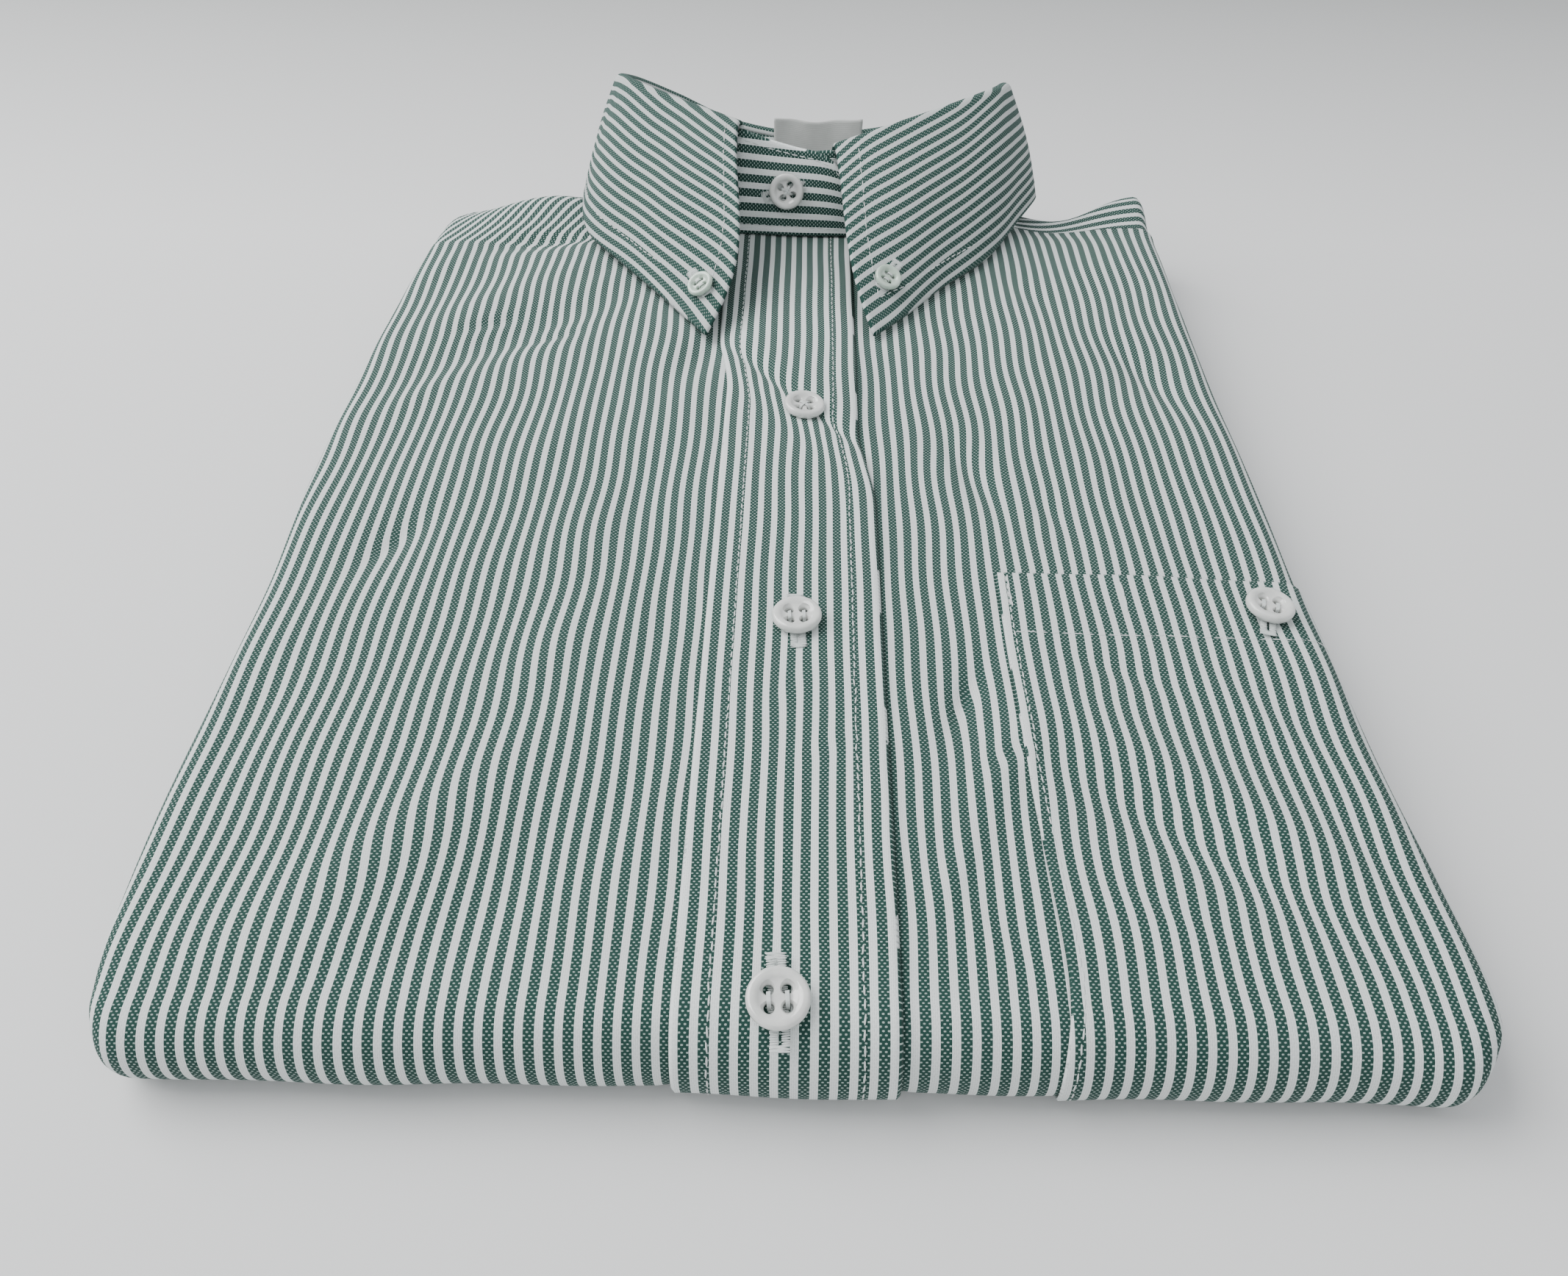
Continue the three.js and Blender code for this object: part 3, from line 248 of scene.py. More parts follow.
def wrap(x, y, turn, depth=0.0):
    """The sheet wrapped over the near fold: the chest at turn 90, the fold between, the underside at -90.

    Height is HEART + left sin(turn), and the fold stands FOLD_REACH cos(turn) before y, where left is the
    height over HEART less a share `depth` of the way in to the slit.
    """
    angle = np.radians(turn)
    upper = chest_height(x, y) - HEART
    tall = mix(HEART - groove_lift(x), upper, (1 + np.sin(angle)) / 2)
    left = tall - depth * (tall - SLIT)
    reach = FOLD_REACH + 0.35 * np.sin(x / 17) + 0.25 * np.sin(x / 6.1 + 1)
    out = y - reach * (left / tall) * np.cos(angle)
    return together(x, out, HEART + left * np.sin(angle))


def neck_or_seam(x, deep):
    """The neckline's ellipse, `deep` from its middle to its edge along Y, or the yoke seam outside it."""
    over = np.clip(1 - ((x - NECK_X) / NECK_HALF) ** 2, 0, 1)
    seam = read(SHOULDER, np.clip(x, -SHOULDER_X, SHOULDER_X), "seam")
    return np.where(over > 0, NECK_Y + deep * np.sqrt(over), seam)


def stations():
    """Rows down the chest, round the fold and back beneath: (share of the neck rows, y, turn)."""
    neck = int(NECK_SPAN / FINE)
    chest = int((BLEND_Y - FOLD_Y) / FINE)
    turns = np.linspace(90, -90, int(FOLD_SPAN / FINE) + 1)[1:]
    share = np.r_[np.arange(neck) / neck, np.ones(chest + 1 + len(turns) + UNDER_ROWS)]
    y = np.r_[np.full(neck, BLEND_Y), np.linspace(BLEND_Y, FOLD_Y, chest + 1), np.full(len(turns), FOLD_Y),
              np.linspace(FOLD_Y, HEM_Y, UNDER_ROWS + 1)[1:]]
    turn = np.r_[np.full(neck + chest + 1, 90.0), turns, np.full(UNDER_ROWS, -90.0)]
    return share[:, None], y[:, None], turn[:, None]


def row_start(x, share, y):
    """Each row's Y: the neck rows lie evenly between the neckline and BLEND_Y."""
    return np.where(share < 1, mix(neck_or_seam(x, -NECK_FRONT), BLEND_Y, share), y)


def cut_length(points, start, turn):
    """The cloth's own lengthwise measure: Y on the chest, and the distance run from there past the fold."""
    v = start + np.zeros_like(points[..., 0])
    first = int(np.argmax(turn[:, 0] < 90)) - 1
    v[first + 1:] = v[first] - np.cumsum(steps(points)[first:], axis=0)
    return v


def front(side, inner):
    """A front: the chest from `inner` out, the rounded side, and the cloth turned in, on the wrapped sheet."""
    share, y, turn = stations()
    seam = read(SHOULDER, side * SHOULDER_X, "seam")
    look = np.where(share < 1, mix(seam, BLEND_Y, share), y) - FOLD_REACH * np.cos(np.radians(turn))
    brink = read(BODY, look, "right" if side > 0 else "left") - side * SIDE_ROUND
    flat = int(abs(side * SHOULDER_X - inner) / FINE)
    angles = np.linspace(90, -90, 15)[1:]
    turned_in = np.linspace(0, SIDE_TURN, 5)[1:]
    reach = np.r_[np.linspace(0, 1, flat + 1), np.ones(len(angles) + len(turned_in))][None, :]
    angle = np.r_[np.full(flat + 1, 90.0), angles, np.full(len(turned_in), -90.0)][None, :]
    inward = np.r_[np.zeros(flat + 1 + len(angles)), turned_in][None, :]
    x = mix(inner, brink, reach)
    start = row_start(x, share, y)
    points = wrap(x, start, turn, (1 - np.sin(np.radians(angle))) / 2)
    points[..., 0] += side * (SIDE_ROUND * np.cos(np.radians(angle)) - inward)
    u = x + np.zeros_like(start)
    u[:, flat + 1:] += side * np.cumsum(steps(points[:, flat:], axis=1), axis=1)
    u = u + slip(x, start) + side * LAP_STRIPE
    v = cut_length(points, start, turn)
    if side < 0:
        # Beyond the bend below the left shoulder the stripes slant in towards the neck.
        u = u - SHOULDER_SLANT * np.maximum(start - SHOULDER_BEND, 0) * (1 - ease(x, -62, -44))
        points, u, v = points[:, ::-1], u[:, ::-1], v[:, ::-1]
    return points, together(u, v)


def grid_normals(points):
    """Outward unit normals of a grid whose rows run away from +Y and columns towards +X."""
    down, over = np.gradient(points, axis=0), np.gradient(points, axis=1)
    return unit(np.cross(down, over))


# ---- meshes

def quads(rows, columns, start=0):
    """Faces of a grid, outward side up."""
    i = np.arange(rows - 1)[:, None] * columns + np.arange(columns - 1)[None, :] + start
    return np.stack([i, i + columns, i + columns + 1, i + 1], -1).reshape(-1, 4)


def tube(rows, around):
    """Faces of a grid whose columns close into a ring."""
    i = np.arange(rows - 1)[:, None] * around
    k = np.arange(around)[None, :]
    nxt = (k + 1) % around
    return np.stack([i + k, i + nxt, i + around + nxt, i + around + k], -1).reshape(-1, 4)


def border(rows, columns):
    """Indices of a grid's points, once round its edge."""
    return np.r_[np.arange(columns), np.arange(1, rows) * columns + columns - 1,
                 (rows - 1) * columns + np.arange(columns - 2, -1, -1), np.arange(rows - 2, 0, -1) * columns]


def linked(name, data):
    obj = bpy.data.objects.new(name, data)
    bpy.context.scene.collection.objects.link(obj)
    return obj


def placed(name, mesh, material):
    """An object of a finished mesh, with its finish, riding on the body."""
    mesh.materials.append(material)
    obj = linked(name, mesh)
    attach(obj, "root")
    return obj


def piece(name, points, faces, uv, material, slot="shirting"):
    """A smooth mesh in the row's frame, from points in millimetres, quads and one UV pair a point."""
    mesh = bpy.data.meshes.new(name)
    at = (np.asarray(points, float).reshape(-1, 3) + ROW_SHIFT) * MM
    faces = np.asarray(faces)
    mesh.vertices.add(len(at))
    mesh.vertices.foreach_set("co", at.astype(np.float32).ravel())
    mesh.loops.add(faces.size)
    mesh.loops.foreach_set("vertex_index", faces.astype(np.int32).ravel())
    mesh.polygons.add(len(faces))
    mesh.polygons.foreach_set("loop_start", np.arange(0, faces.size, faces.shape[1], dtype=np.int32))
    mesh.polygons.foreach_set("use_smooth", np.ones(len(faces), bool))
    layer = mesh.uv_layers.new(name="cut")
    layer.data.foreach_set("uv", np.asarray(uv, np.float32).reshape(-1, 2)[faces.ravel()].ravel())
    mesh.update(calc_edges=True)
    mesh.validate()
    return placed(name, mesh, material)


def shell(points, uv, low, high):
    """A closed wall over a grid, its faces `low` and `high` along the normals, with a rounded rim."""
    rows, columns = points.shape[:2]
    ring = border(rows, columns)
    out = np.zeros_like(points)
    out[0] += points[0] - points[1]
    out[-1] += points[-1] - points[-2]
    out[:, 0] += points[:, 0] - points[:, 1]
    out[:, -1] += points[:, -1] - points[:, -2]
    out = unit(out.reshape(-1, 3)[ring])
    flat, normal = points.reshape(-1, 3), grid_normals(points).reshape(-1, 3)
    middle = flat[ring] + normal[ring] * (low + high) / 2 + out * (high - low) / 2
    count = rows * columns
    k = np.arange(len(ring))
    nxt = np.roll(k, -1)
    rim = 2 * count
    faces = np.concatenate([
        quads(rows, columns), quads(rows, columns, count)[:, ::-1],
        np.stack([ring[nxt], ring[k], rim + k, rim + nxt], -1)[:, ::-1],
        np.stack([rim + nxt, rim + k, count + ring[k], count + ring[nxt]], -1)[:, ::-1]])
    flat_uv = uv.reshape(-1, 2)
    return (np.concatenate([flat + normal * high, flat + normal * low, middle]), faces,
            np.concatenate([flat_uv, flat_uv, flat_uv[ring]]))


def join(*parts):
    """Several (points, faces, uv) as one."""
    starts = np.cumsum([0] + [len(p[0].reshape(-1, 3)) for p in parts[:-1]])
    return (np.concatenate([p[0].reshape(-1, 3) for p in parts]),
            np.concatenate([p[1] + s for p, s in zip(parts, starts)]),
            np.concatenate([p[2].reshape(-1, 2) for p in parts]))


# ---- materials

class Finish:
    """A material and the node arithmetic it is built from."""

    def __init__(self, name):
        self.material = bpy.data.materials.new(name)
        self.material.use_nodes = True
        self.nodes, self.links = self.material.node_tree.nodes, self.material.node_tree.links
        self.shader = self.nodes["Principled BSDF"]
        self.place = self.nodes.new("ShaderNodeTexCoord").outputs["Object"]

    def put(self, socket, value):
        if isinstance(value, bpy.types.NodeSocket):
            self.links.new(value, socket)
        elif socket.type == "RGBA":
            socket.default_value = (*value, 1)
        else:
            socket.default_value = value

    def node(self, kind, output, inputs, **settings):
        """An output of a new node with its settings and its inputs."""
        node = self.nodes.new("ShaderNode" + kind)
        for name, value in settings.items():
            setattr(node, name, value)
        for name, value in inputs.items():
            self.put(node.inputs[name], value)
        return node.outputs[output]

    def math(self, operation, *values):
        return self.node("Math", 0, dict(enumerate(values)), operation=operation)

    def share(self, value):
        """A value kept between 0 and 1."""
        return self.math("MINIMUM", self.math("MAXIMUM", value, 0), 1)

    def blend(self, share, a, b):
        return self.node("Mix", "Result", {"Factor": share, "A": a, "B": b}, data_type="RGBA")

    def noise(self, scale, detail=2.0, roughness=0.5):
        return self.node("TexNoise", "Fac", dict(Scale=scale, Detail=detail, Roughness=roughness, Vector=self.place))

    def axis(self, vector, name):
        return self.node("SeparateXYZ", name, {0: vector})

    def cut(self, axis):
        """The piece's own measures in millimetres of cloth: X crosswise, Y lengthwise."""
        return self.axis(self.node("UVMap", "UV", {}, uv_map="cut"), axis)

    def bump(self, height, strength, distance):
        bump = self.node("Bump", "Normal", dict(Strength=strength, Distance=distance, Height=height))
        self.put(self.shader.inputs["Normal"], bump)

    def made(self, colour, roughness, **more):
        """The material, once it has its colour and its gloss."""
        for name, value in dict(Base_Color=colour, Roughness=roughness, **more).items():
            self.put(self.shader.inputs[name.replace("_", " ")], value)
        return self.material


# SHADE and GREEN_SHADE are painted shade, mixed into the low gaps between threads.
GREEN, GREEN_WORN, GREEN_SHADE = (0.011, 0.043, 0.035), (0.026, 0.074, 0.060), (0.02, 0.06, 0.05)
WHITE, WHITE_WARM, SHADE = (0.655, 0.690, 0.680), (0.70, 0.725, 0.70), (0.27, 0.30, 0.295)
# Painted shade: the white weft lies low between the green warps, and is coloured greyer there for the shade it lies
# in.
SHADED_WEFT_IN_GREEN = (0.31, 0.385, 0.355)
# The green warps are spaced a little wider than the white ones, so they take this share of a stripe.
GREEN_SHARE, WEFT = 0.565, 0.60
# How much prouder the doubled warps lie than the weft, which shows between them as small dashes.
WARP_PROUD = 0.78


def shirting(name, phase=0.0, bright=1.0):
    """Oxford cloth: four green and four white paired warps a stripe, crossed by white weft."""
    do = Finish(name)
    over, down = do.cut("X"), do.cut("Y")
    wander = do.math("MULTIPLY", do.math("SUBTRACT", do.noise(900, 1), 0.5), 0.10)
    stripe = do.math("DIVIDE", do.math("ADD", over, phase), STRIPE)
    part = do.math("FRACT", stripe)
    in_green = do.math("MULTIPLY", part, 4 / GREEN_SHARE)
    in_white = do.math("MULTIPLY_ADD", part, 4 / (1 - GREEN_SHARE), 4 - 4 * GREEN_SHARE / (1 - GREEN_SHARE))
    across = do.math("MULTIPLY_ADD", do.math("FLOOR", stripe), 8, do.math("MAXIMUM", in_green, in_white))
    across = do.math("ADD", across, wander)
    along = do.math("ADD", do.math("DIVIDE", down, WEFT), wander)
    warp, weft = do.math("FLOOR", across), do.math("FLOOR", along)

    def thread(at, lift_at, parity):
        """A thread's round back, and how it is raised and lowered as it passes over and under."""
        side = do.math("SUBTRACT", do.math("MULTIPLY", do.math("FRACT", at), 2), 1)
        back = do.math("SQRT", do.math("MAXIMUM", do.math("SUBTRACT", 1, do.math("MULTIPLY", side, side)), 0))
        turn = do.math("MULTIPLY", do.math("ADD", do.math("SUBTRACT", lift_at, 0.5), parity), np.pi)
        return do.math("MULTIPLY", back, 0.6), do.math("MULTIPLY", do.math("COSINE", turn), 0.5)

    high_warp = do.math("ADD", do.math("ADD", *thread(across, along, warp)), WARP_PROUD)
    high_weft = do.math("SUBTRACT", *thread(along, across, weft))
    on_top = do.math("GREATER_THAN", high_warp, high_weft)
    height = do.math("MAXIMUM", high_warp, high_weft)
    green = do.math("LESS_THAN", do.math("FLOORED_MODULO", warp, 8), 4)
    # A green thread's dye and a white thread's tone vary a little along the cloth.
    dyed = do.blend(do.math("MULTIPLY", do.noise(2600, 1), 0.5), GREEN, GREEN_WORN)
    # `bright` scales the cloth's tones; the collar's copy uses it for painted shade and the band's copy for painted
    # light.
    white, warm, shaded_weft_in_green = (tuple(bright * c for c in tone) for tone in (WHITE, WHITE_WARM, SHADED_WEFT_IN_GREEN))
    plain = do.blend(do.math("MULTIPLY", do.noise(70, 3), 0.35), white, warm)
    colour = do.blend(on_top, do.blend(green, plain, shaded_weft_in_green), do.blend(green, plain, dyed))
    # Painted shade: the cloth is darkened towards SHADE and GREEN_SHADE where it lies low between threads.
    gap = do.share(do.math("MULTIPLY", do.math("SUBTRACT", 1.0, height), 2.2))
    colour = do.blend(do.math("MULTIPLY", gap, 0.8), colour, do.blend(green, SHADE, GREEN_SHADE))
    do.bump(height, 0.35, 0.00012)
    return do.made(colour, 0.86, Specular_IOR_Level=0.18, Sheen_Weight=0.04, Sheen_Roughness=0.5)


def thread_material():
    """White cotton sewing thread with a fine twist."""
    do = Finish("white_thread")
    return do.made(do.blend(do.noise(1500), (0.50, 0.54, 0.53), (0.70, 0.73, 0.71)), 0.6, Specular_IOR_Level=0.3)


def tape_material():
    """Plain grey satin label tape with a fine rib."""
    do = Finish("label_tape")
    do.bump(do.math("SINE", do.math("MULTIPLY", do.cut("Y"), 2 * np.pi / 0.45)), 0.25, 0.0001)
    return do.made(do.blend(do.noise(220, 3), (0.36, 0.37, 0.355), (0.50, 0.51, 0.49)), 0.55)


def button_material(name, base, cloud, through):
    """Cast resin with faint pearly clouds under a polished skin."""
    do = Finish(name)
    tone = do.math("MULTIPLY", do.math("SUBTRACT", do.noise(230, 4, 0.6), 0.3), 1.6)
    return do.made(do.blend(tone, base, cloud), 0.14, Specular_IOR_Level=0.6, Coat_Weight=0.8,
                   Coat_Roughness=0.03, Subsurface_Weight=through, Subsurface_Scale=1.0,
                   Subsurface_Radius=(0.0012, 0.0013, 0.0012))


CLOTH_SKIN = shirting("oxford_stripe")
PLACKET_SKIN = shirting("oxford_stripe_placket", phase=PLACKET_WIDTH / 2 + 0.70 * STRIPE, bright=1.10)
POCKET_SKIN = shirting("oxford_stripe_pocket", phase=1.1)
# Painted shade: the collar's copy of the cloth is darkened (bright 0.77) for the lesser light on its steep leaves.
SHADED_COLLAR_SKIN = shirting("oxford_stripe_collar_painted_shade", phase=-0.75, bright=0.77)
# Painted light: the band's copy of the cloth is lightened (bright 1.2) against the shade the collar's leaves cast on
# it.
LIT_BAND_SKIN = shirting("oxford_stripe_band_painted_light", phase=1.4, bright=1.2)
INNER_SKIN = shirting("oxford_stripe_inner", phase=0.8)
THREAD = thread_material()
TAPE = tape_material()
PEARL = button_material("pearl_resin", (0.60, 0.61, 0.585), (0.80, 0.80, 0.775), 0.25)
POINT_RESIN = button_material("green_white_resin", (0.44, 0.55, 0.46), (0.62, 0.71, 0.62), 0.35)


# ---- fronts, placket, pocket

def walled(name, grid, uv, material):
    """A grid as an open sheet, thickened inwards by a modifier."""
    obj = piece(name, grid, quads(*grid.shape[:2]), uv, material)
    wall = obj.modifiers.new("wall", "SOLIDIFY")
    wall.thickness = SHEET * MM
    wall.offset = -1
    return obj


right_grid, right_uv = front(1, LAP_X)
left_grid, left_uv = front(-1, LAP_X - 0.3)
right_front = walled("right_front_cloth", right_grid, right_uv, CLOTH_SKIN)
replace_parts(right_front, "front_right")
left_front = walled("left_front_cloth", left_grid, left_uv, CLOTH_SKIN)
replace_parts(left_front, "front_left")


def placket_shift(x, y):
    """The placket is drawn aside under the collar, and comes back across the slanting crease."""
    return -3.6 * ease(past_step(x, y), -12, 9)


def placket_grid():
    """A strip of the wrapped sheet, a column each millimetre, drawn aside where the chest is."""
    share, y, turn = stations()
    flat = np.linspace(-PLACKET_WIDTH / 2, PLACKET_WIDTH / 2, int(PLACKET_WIDTH) + 1)[None, :]
    x = PLACKET_X + flat
    start = row_start(x, share, y)
    points = wrap(x + placket_shift(x, start) * (turn == 90), start, turn)
    return points, together(flat + 0.4 * slip(x + 37, start), cut_length(points, start, turn))


placket_points, placket_uv = placket_grid()
placket = piece("placket_cloth", *shell(placket_points, placket_uv, *PLACKET_WALL), PLACKET_SKIN)
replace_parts(placket, "placket")


def pocket_grid():
    """The part of the right front that the pocket covers."""
    share, y, turn = stations()
    rows = np.where((share[:, 0] >= 1) & (y[:, 0] <= POCKET_TOP + 0.5) & (turn[:, 0] > POCKET_END))[0]
    flat = int((SHOULDER_X - LAP_X) / FINE)
    first = int(np.argmin(np.abs(right_grid[rows[0], :flat, 0] - POCKET_LEFT)))
    last = flat + 1 + POCKET_ROUND
    return right_grid[rows][:, first:last], right_uv[rows][:, first:last]


pocket_points, pocket_uv = pocket_grid()
pocket = piece("pocket_cloth", *shell(pocket_points, pocket_uv, *POCKET_WALL), POCKET_SKIN)
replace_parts(pocket, "pocket")


# ---- yoke

def yoke_grid():
    """Over the shoulders: from the seams, flat to the far edge, down a quarter turn and down both sides."""
    drop = np.radians(np.linspace(90, 0, 9))[1:][None, :]
    flat_rows, fall_rows = 26, 16
    flat = np.r_[np.linspace(0, 1, flat_rows), np.ones(fall_rows)][:, None]
    fall = np.radians(np.r_[np.full(flat_rows, 90.0), np.linspace(90, 0, fall_rows + 1)[1:]])[:, None]

    def surface(x, side_angle, side):
        look = np.clip(x, -SHOULDER_X, SHOULDER_X)
        start = neck_or_seam(x, NECK_BACK) + 0.1
        far, low = read(SHOULDER, look, "far"), read(SHOULDER, look, "low")
        turn = np.minimum(FAR_ROUND, 0.75 * (far - start))
        y = mix(start, far - turn, flat) + turn * np.cos(fall)
        tall = np.maximum(chest_height(x, np.minimum(y, far - turn)) - low, 3)
        z = low + tall * np.sin(fall) * np.sin(side_angle)
        return together(x + side * SIDE_ROUND * np.cos(side_angle), y, z)

    left, right = (read(BODY, read(SHOULDER, side * SHOULDER_X, "seam"), edge) - side * SIDE_ROUND
                   for side, edge in ((-1, "left"), (1, "right")))
    inner = np.linspace(left, right, int(2 * SHOULDER_X / FINE))[None, :]
    return np.concatenate([surface(left, drop[:, ::-1], -1), surface(inner, np.pi / 2, 0),
                           surface(right, drop, 1)], axis=1)[::-1]


yoke_points = yoke_grid()
yoke_v = np.concatenate([np.zeros((1, yoke_points.shape[1])), np.cumsum(steps(yoke_points), axis=0)])
yoke_v = yoke_v[-1:] - yoke_v
# The stripes of the right yoke run along the shoulder, those of the left go on from the front.
yoke_x = yoke_points[..., 0]
yoke_uv = np.where((yoke_x > -30)[..., None], together(yoke_v - 0.12 * yoke_x, yoke_x),
                   together(yoke_x - 12 - 0.9 * yoke_v, yoke_v + 150))
yoke = walled("yoke_cloth", yoke_points, yoke_uv, CLOTH_SKIN)
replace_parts(yoke, "yoke")


# ---- collar

def foot_height(x, y):
    """Clear of the cloth a little all round a foot on the neckline."""
    near = ((0, 0), (BAND_OUT, 0), (-BAND_OUT, 0), (0, BAND_OUT), (0, -BAND_OUT))
    tops = np.max([chest_height(x + dx, y + dy) for dx, dy in near], axis=0)
    over = (np.abs(x - PLACKET_X) < PLACKET_WIDTH / 2 + 6) & (y < NECK_Y)
    return tops + np.where(over, LIE + CLOTH, 0) + BAND_REST


def band_foot(turn):
    """A point of the neckline's ellipse, the front end pushed in where the band's other end laps it."""
    angle = np.radians(turn)
    inward = LAP_GAP * (1 - ease(turn, LAP_FROM, LAP_TO))
    deep = np.where(np.sin(angle) < 0, NECK_FRONT, NECK_BACK) + BAND_OUT - inward
    x = NECK_X + (NECK_HALF + BAND_OUT - inward) * np.cos(angle)
    y = NECK_Y + deep * np.sin(angle)
    return together(x, y, foot_height(x, y))


def collar_line(turn, line):
    """A point of the collar's roll line or of its free edge."""
    return together(*(read(COLLAR, turn, line + axis) for axis in "XYZ"))


def band_top(turn):
    """The roll line, carried on over the band's two front ends."""
    turn = np.asarray(turn, float)
    top = collar_line(turn, "roll")
    t = ((turn - BAND_UNDER_TURN) / (LEAF_START - BAND_UNDER_TURN))[..., None]
    under = mix(BAND_UNDER, collar_line(LEAF_START, "roll"), t)
    over = together(*(read(BAND_OVER, turn, name) for name in "xyz"))
    return np.where((turn < LEAF_START)[..., None], under, np.where((turn > LEAF_END)[..., None], over, top))


band_turn = np.r_[np.linspace(BAND_UNDER_TURN, LEAF_START, 12)[:-1], np.linspace(LEAF_START, LEAF_END, 260),
                  np.linspace(LEAF_END, BAND_OVER_TURN, 30)[1:]]
leaf_turn = np.linspace(LEAF_START, LEAF_END, 300)


def band_grid(turn):
    """Straight up from the foot to the roll line; the stripes keep their height where an end is cut lower."""
    foot, top = band_foot(turn), band_top(turn)
    share = np.linspace(1, 0, 30)[:, None, None]
    high = np.linalg.norm(top - foot, axis=-1)
    tall = BAND_STRIPED * np.minimum(high / np.interp(LEAF_END, turn, high), 1) ** 0.7
    return foot + (top - foot) * share, together(share[..., 0] * tall, run((foot + top) / 2))


band_points, band_uv = band_grid(band_turn)
band = piece("collar_band_cloth", *shell(band_points, band_uv, *BAND_WALL), LIT_BAND_SKIN)
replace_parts(band, "collar_band")


def leaf_floor(points):
    """Height of what lies under the leaf's free edge."""
    x, y = points[..., 0], points[..., 1]
    on_body = y < read(SHOULDER, x, "far") + 2
    on_placket = np.abs(x - PLACKET_X) < PLACKET_WIDTH / 2 + 2
    return np.where(on_body, chest_height(x, y) + np.where(on_placket, LIE + CLOTH, 0) + LIE, 0)


# How many stripes lie between the roll and the free edge, and how many have left the roll line by that turn.
LEAF_STRIPES = table(
    "turn count left",
    (-83.5, 16.8, 5.5), (-74, 15.6, 4.13), (-60, 15.2, 3.15), (-43, 14.6, 2.16), (-28, 13.6, 0.8), (-15, 12.6, 0),
    (30, 12.4, 0), (120, 12.6, 0), (182, 13.2, 0), (192, 13.6, 0.15), (204, 15, 0.82), (215, 15.9, 1.49),
    (230, 16.9, 2.3), (252, 17.3, 3.9))


def leaf_grid(turn):
    """Sections up off the band, round the roll on an arc, and down to the free edge with a slight bulge."""
    foot, top = band_foot(turn), band_top(turn)
    up = unit(top - foot)
    edge = collar_line(turn, "edge")
    edge[:, 2] = np.maximum(edge[:, 2], leaf_floor(edge) + LEAF_THICK / 2)
    ahead = band_top(np.minimum(turn + 1, LEAF_END)) - band_top(np.maximum(turn - 1, LEAF_START))
    out = unit(np.cross(ahead, up))
    centre = top + up * LEAF_REST + out * LEAF_ROLL
    to_edge = edge - centre
    fall = np.arctan2((to_edge * up).sum(-1), (to_edge * out).sum(-1))
    end = fall + np.pi / 2
    arc = mix(np.pi, end, np.linspace(0, 1, ROLL_STEPS)[:, None])[..., None]
    rolled = centre + out * LEAF_ROLL * np.cos(arc) + up * LEAF_ROLL * np.sin(arc)
    leave = rolled[-1]
    bulge = out * np.cos(end)[:, None] + up * np.sin(end)[:, None]
    t = np.linspace(0, 1, FALL_STEPS + 1)[1:, None, None]
    hang = leave + (edge - leave) * t + bulge * FALL_BULGE * np.sin(np.pi * t)
    bow = (LEAF_BOW_LEFT * ease(turn, LEAF_END - 24, LEAF_END)
           - LEAF_BOW_RIGHT * (1 - ease(turn, LEAF_START, LEAF_START + 24)))
    hang[..., 0] += bow * np.sin(np.pi * t[..., 0] ** 1.5)
    share = np.r_[np.linspace(-0.08, 0, ROLL_STEPS), t[:, 0, 0]][:, None]
    down = share * read(LEAF_STRIPES, turn, "count") - read(LEAF_STRIPES, turn, "left")
    return np.concatenate([rolled, hang]), together(down * STRIPE, run(hang[FALL_STEPS // 2]))


leaf_points, leaf_uv = leaf_grid(leaf_turn)
leaf = piece("collar_leaf_cloth", *shell(leaf_points, leaf_uv, *LEAF_WALL), SHADED_COLLAR_SKIN)
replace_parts(leaf, "collar_leaf")


def label_grid():
    """Up the back of the band from LABEL_LOW of its height to LABEL_RISE over it, its top a little wavy."""
    turn = np.linspace(*LABEL_TURNS, 44)
    foot, top = band_foot(turn), band_top(turn)
    share = np.linspace(1, 0, 30)[:, None, None]
    points = foot + (top - foot) * mix(LABEL_LOW, 1, share) + unit(top - foot) * LABEL_RISE * share
    points[..., 1] += share[..., 0] ** 3 * 0.5 * np.sin(turn * 0.55)
    return points, together(run(top), share[..., 0] * LABEL_TALL)


label = piece("neck_label_tape", *shell(*label_grid(), *LABEL_WALL), TAPE, "label_tape")
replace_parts(label, "neck_label")


# ---- layers folded out of sight

def rounded_layer(near, far, left, right, low, top, lean):
    """A folded layer: its section an oblong with round ends, carried along Y and closed at both ends."""
    y = np.r_[near, near + 0.6, near + 1.6, np.linspace(near + 3, far - 3, 90), far - 1.6, far - 0.6, far]
    share = np.r_[0.2, 0.6, 0.9, np.ones(90), 0.9, 0.6, 0.2][:, None]
    # The section goes over the top, round the right end, back beneath and round the left end.
    angle = np.radians(np.linspace(90, -90, 11))
    spans = np.linspace(0, 1, 24)[1:-1]
    across = np.r_[spans, np.ones(11), spans[::-1], np.zeros(11)]
    bulge = np.r_[0 * spans, np.cos(angle), 0 * spans, -np.cos(angle)]
    rise = np.r_[0 * spans + 1, np.sin(angle), 0 * spans - 1, -np.sin(angle)]
    half = (top - low) / 2
    wave = 0.5 * np.sin(y / 19 + lean) + 0.3 * np.sin(y / 7.3 + 2 * lean)
    left_end = read(BODY, y, "left")[:, None] + left + wave[:, None] + half
    right_end = read(BODY, y, "right")[:, None] - right - 0.8 * wave[::-1, None] - half
    points = together(mix(left_end, right_end, across) + half * bulge, y[:, None], low + half + share * half * rise)
    rows, columns = points.shape[:2]
    uv = together(points[..., 0], points[..., 1] + points[..., 2])
    cap = np.arange(columns // 2 - 1)
    first = np.stack([cap, cap + 1, columns - 2 - cap, columns - 1 - cap], -1)
    last = first + (rows - 1) * columns
    faces = np.concatenate([tube(rows, columns)[:, ::-1], first, last[:, ::-1]])
    return points.reshape(-1, 3), faces, uv.reshape(-1, 2)


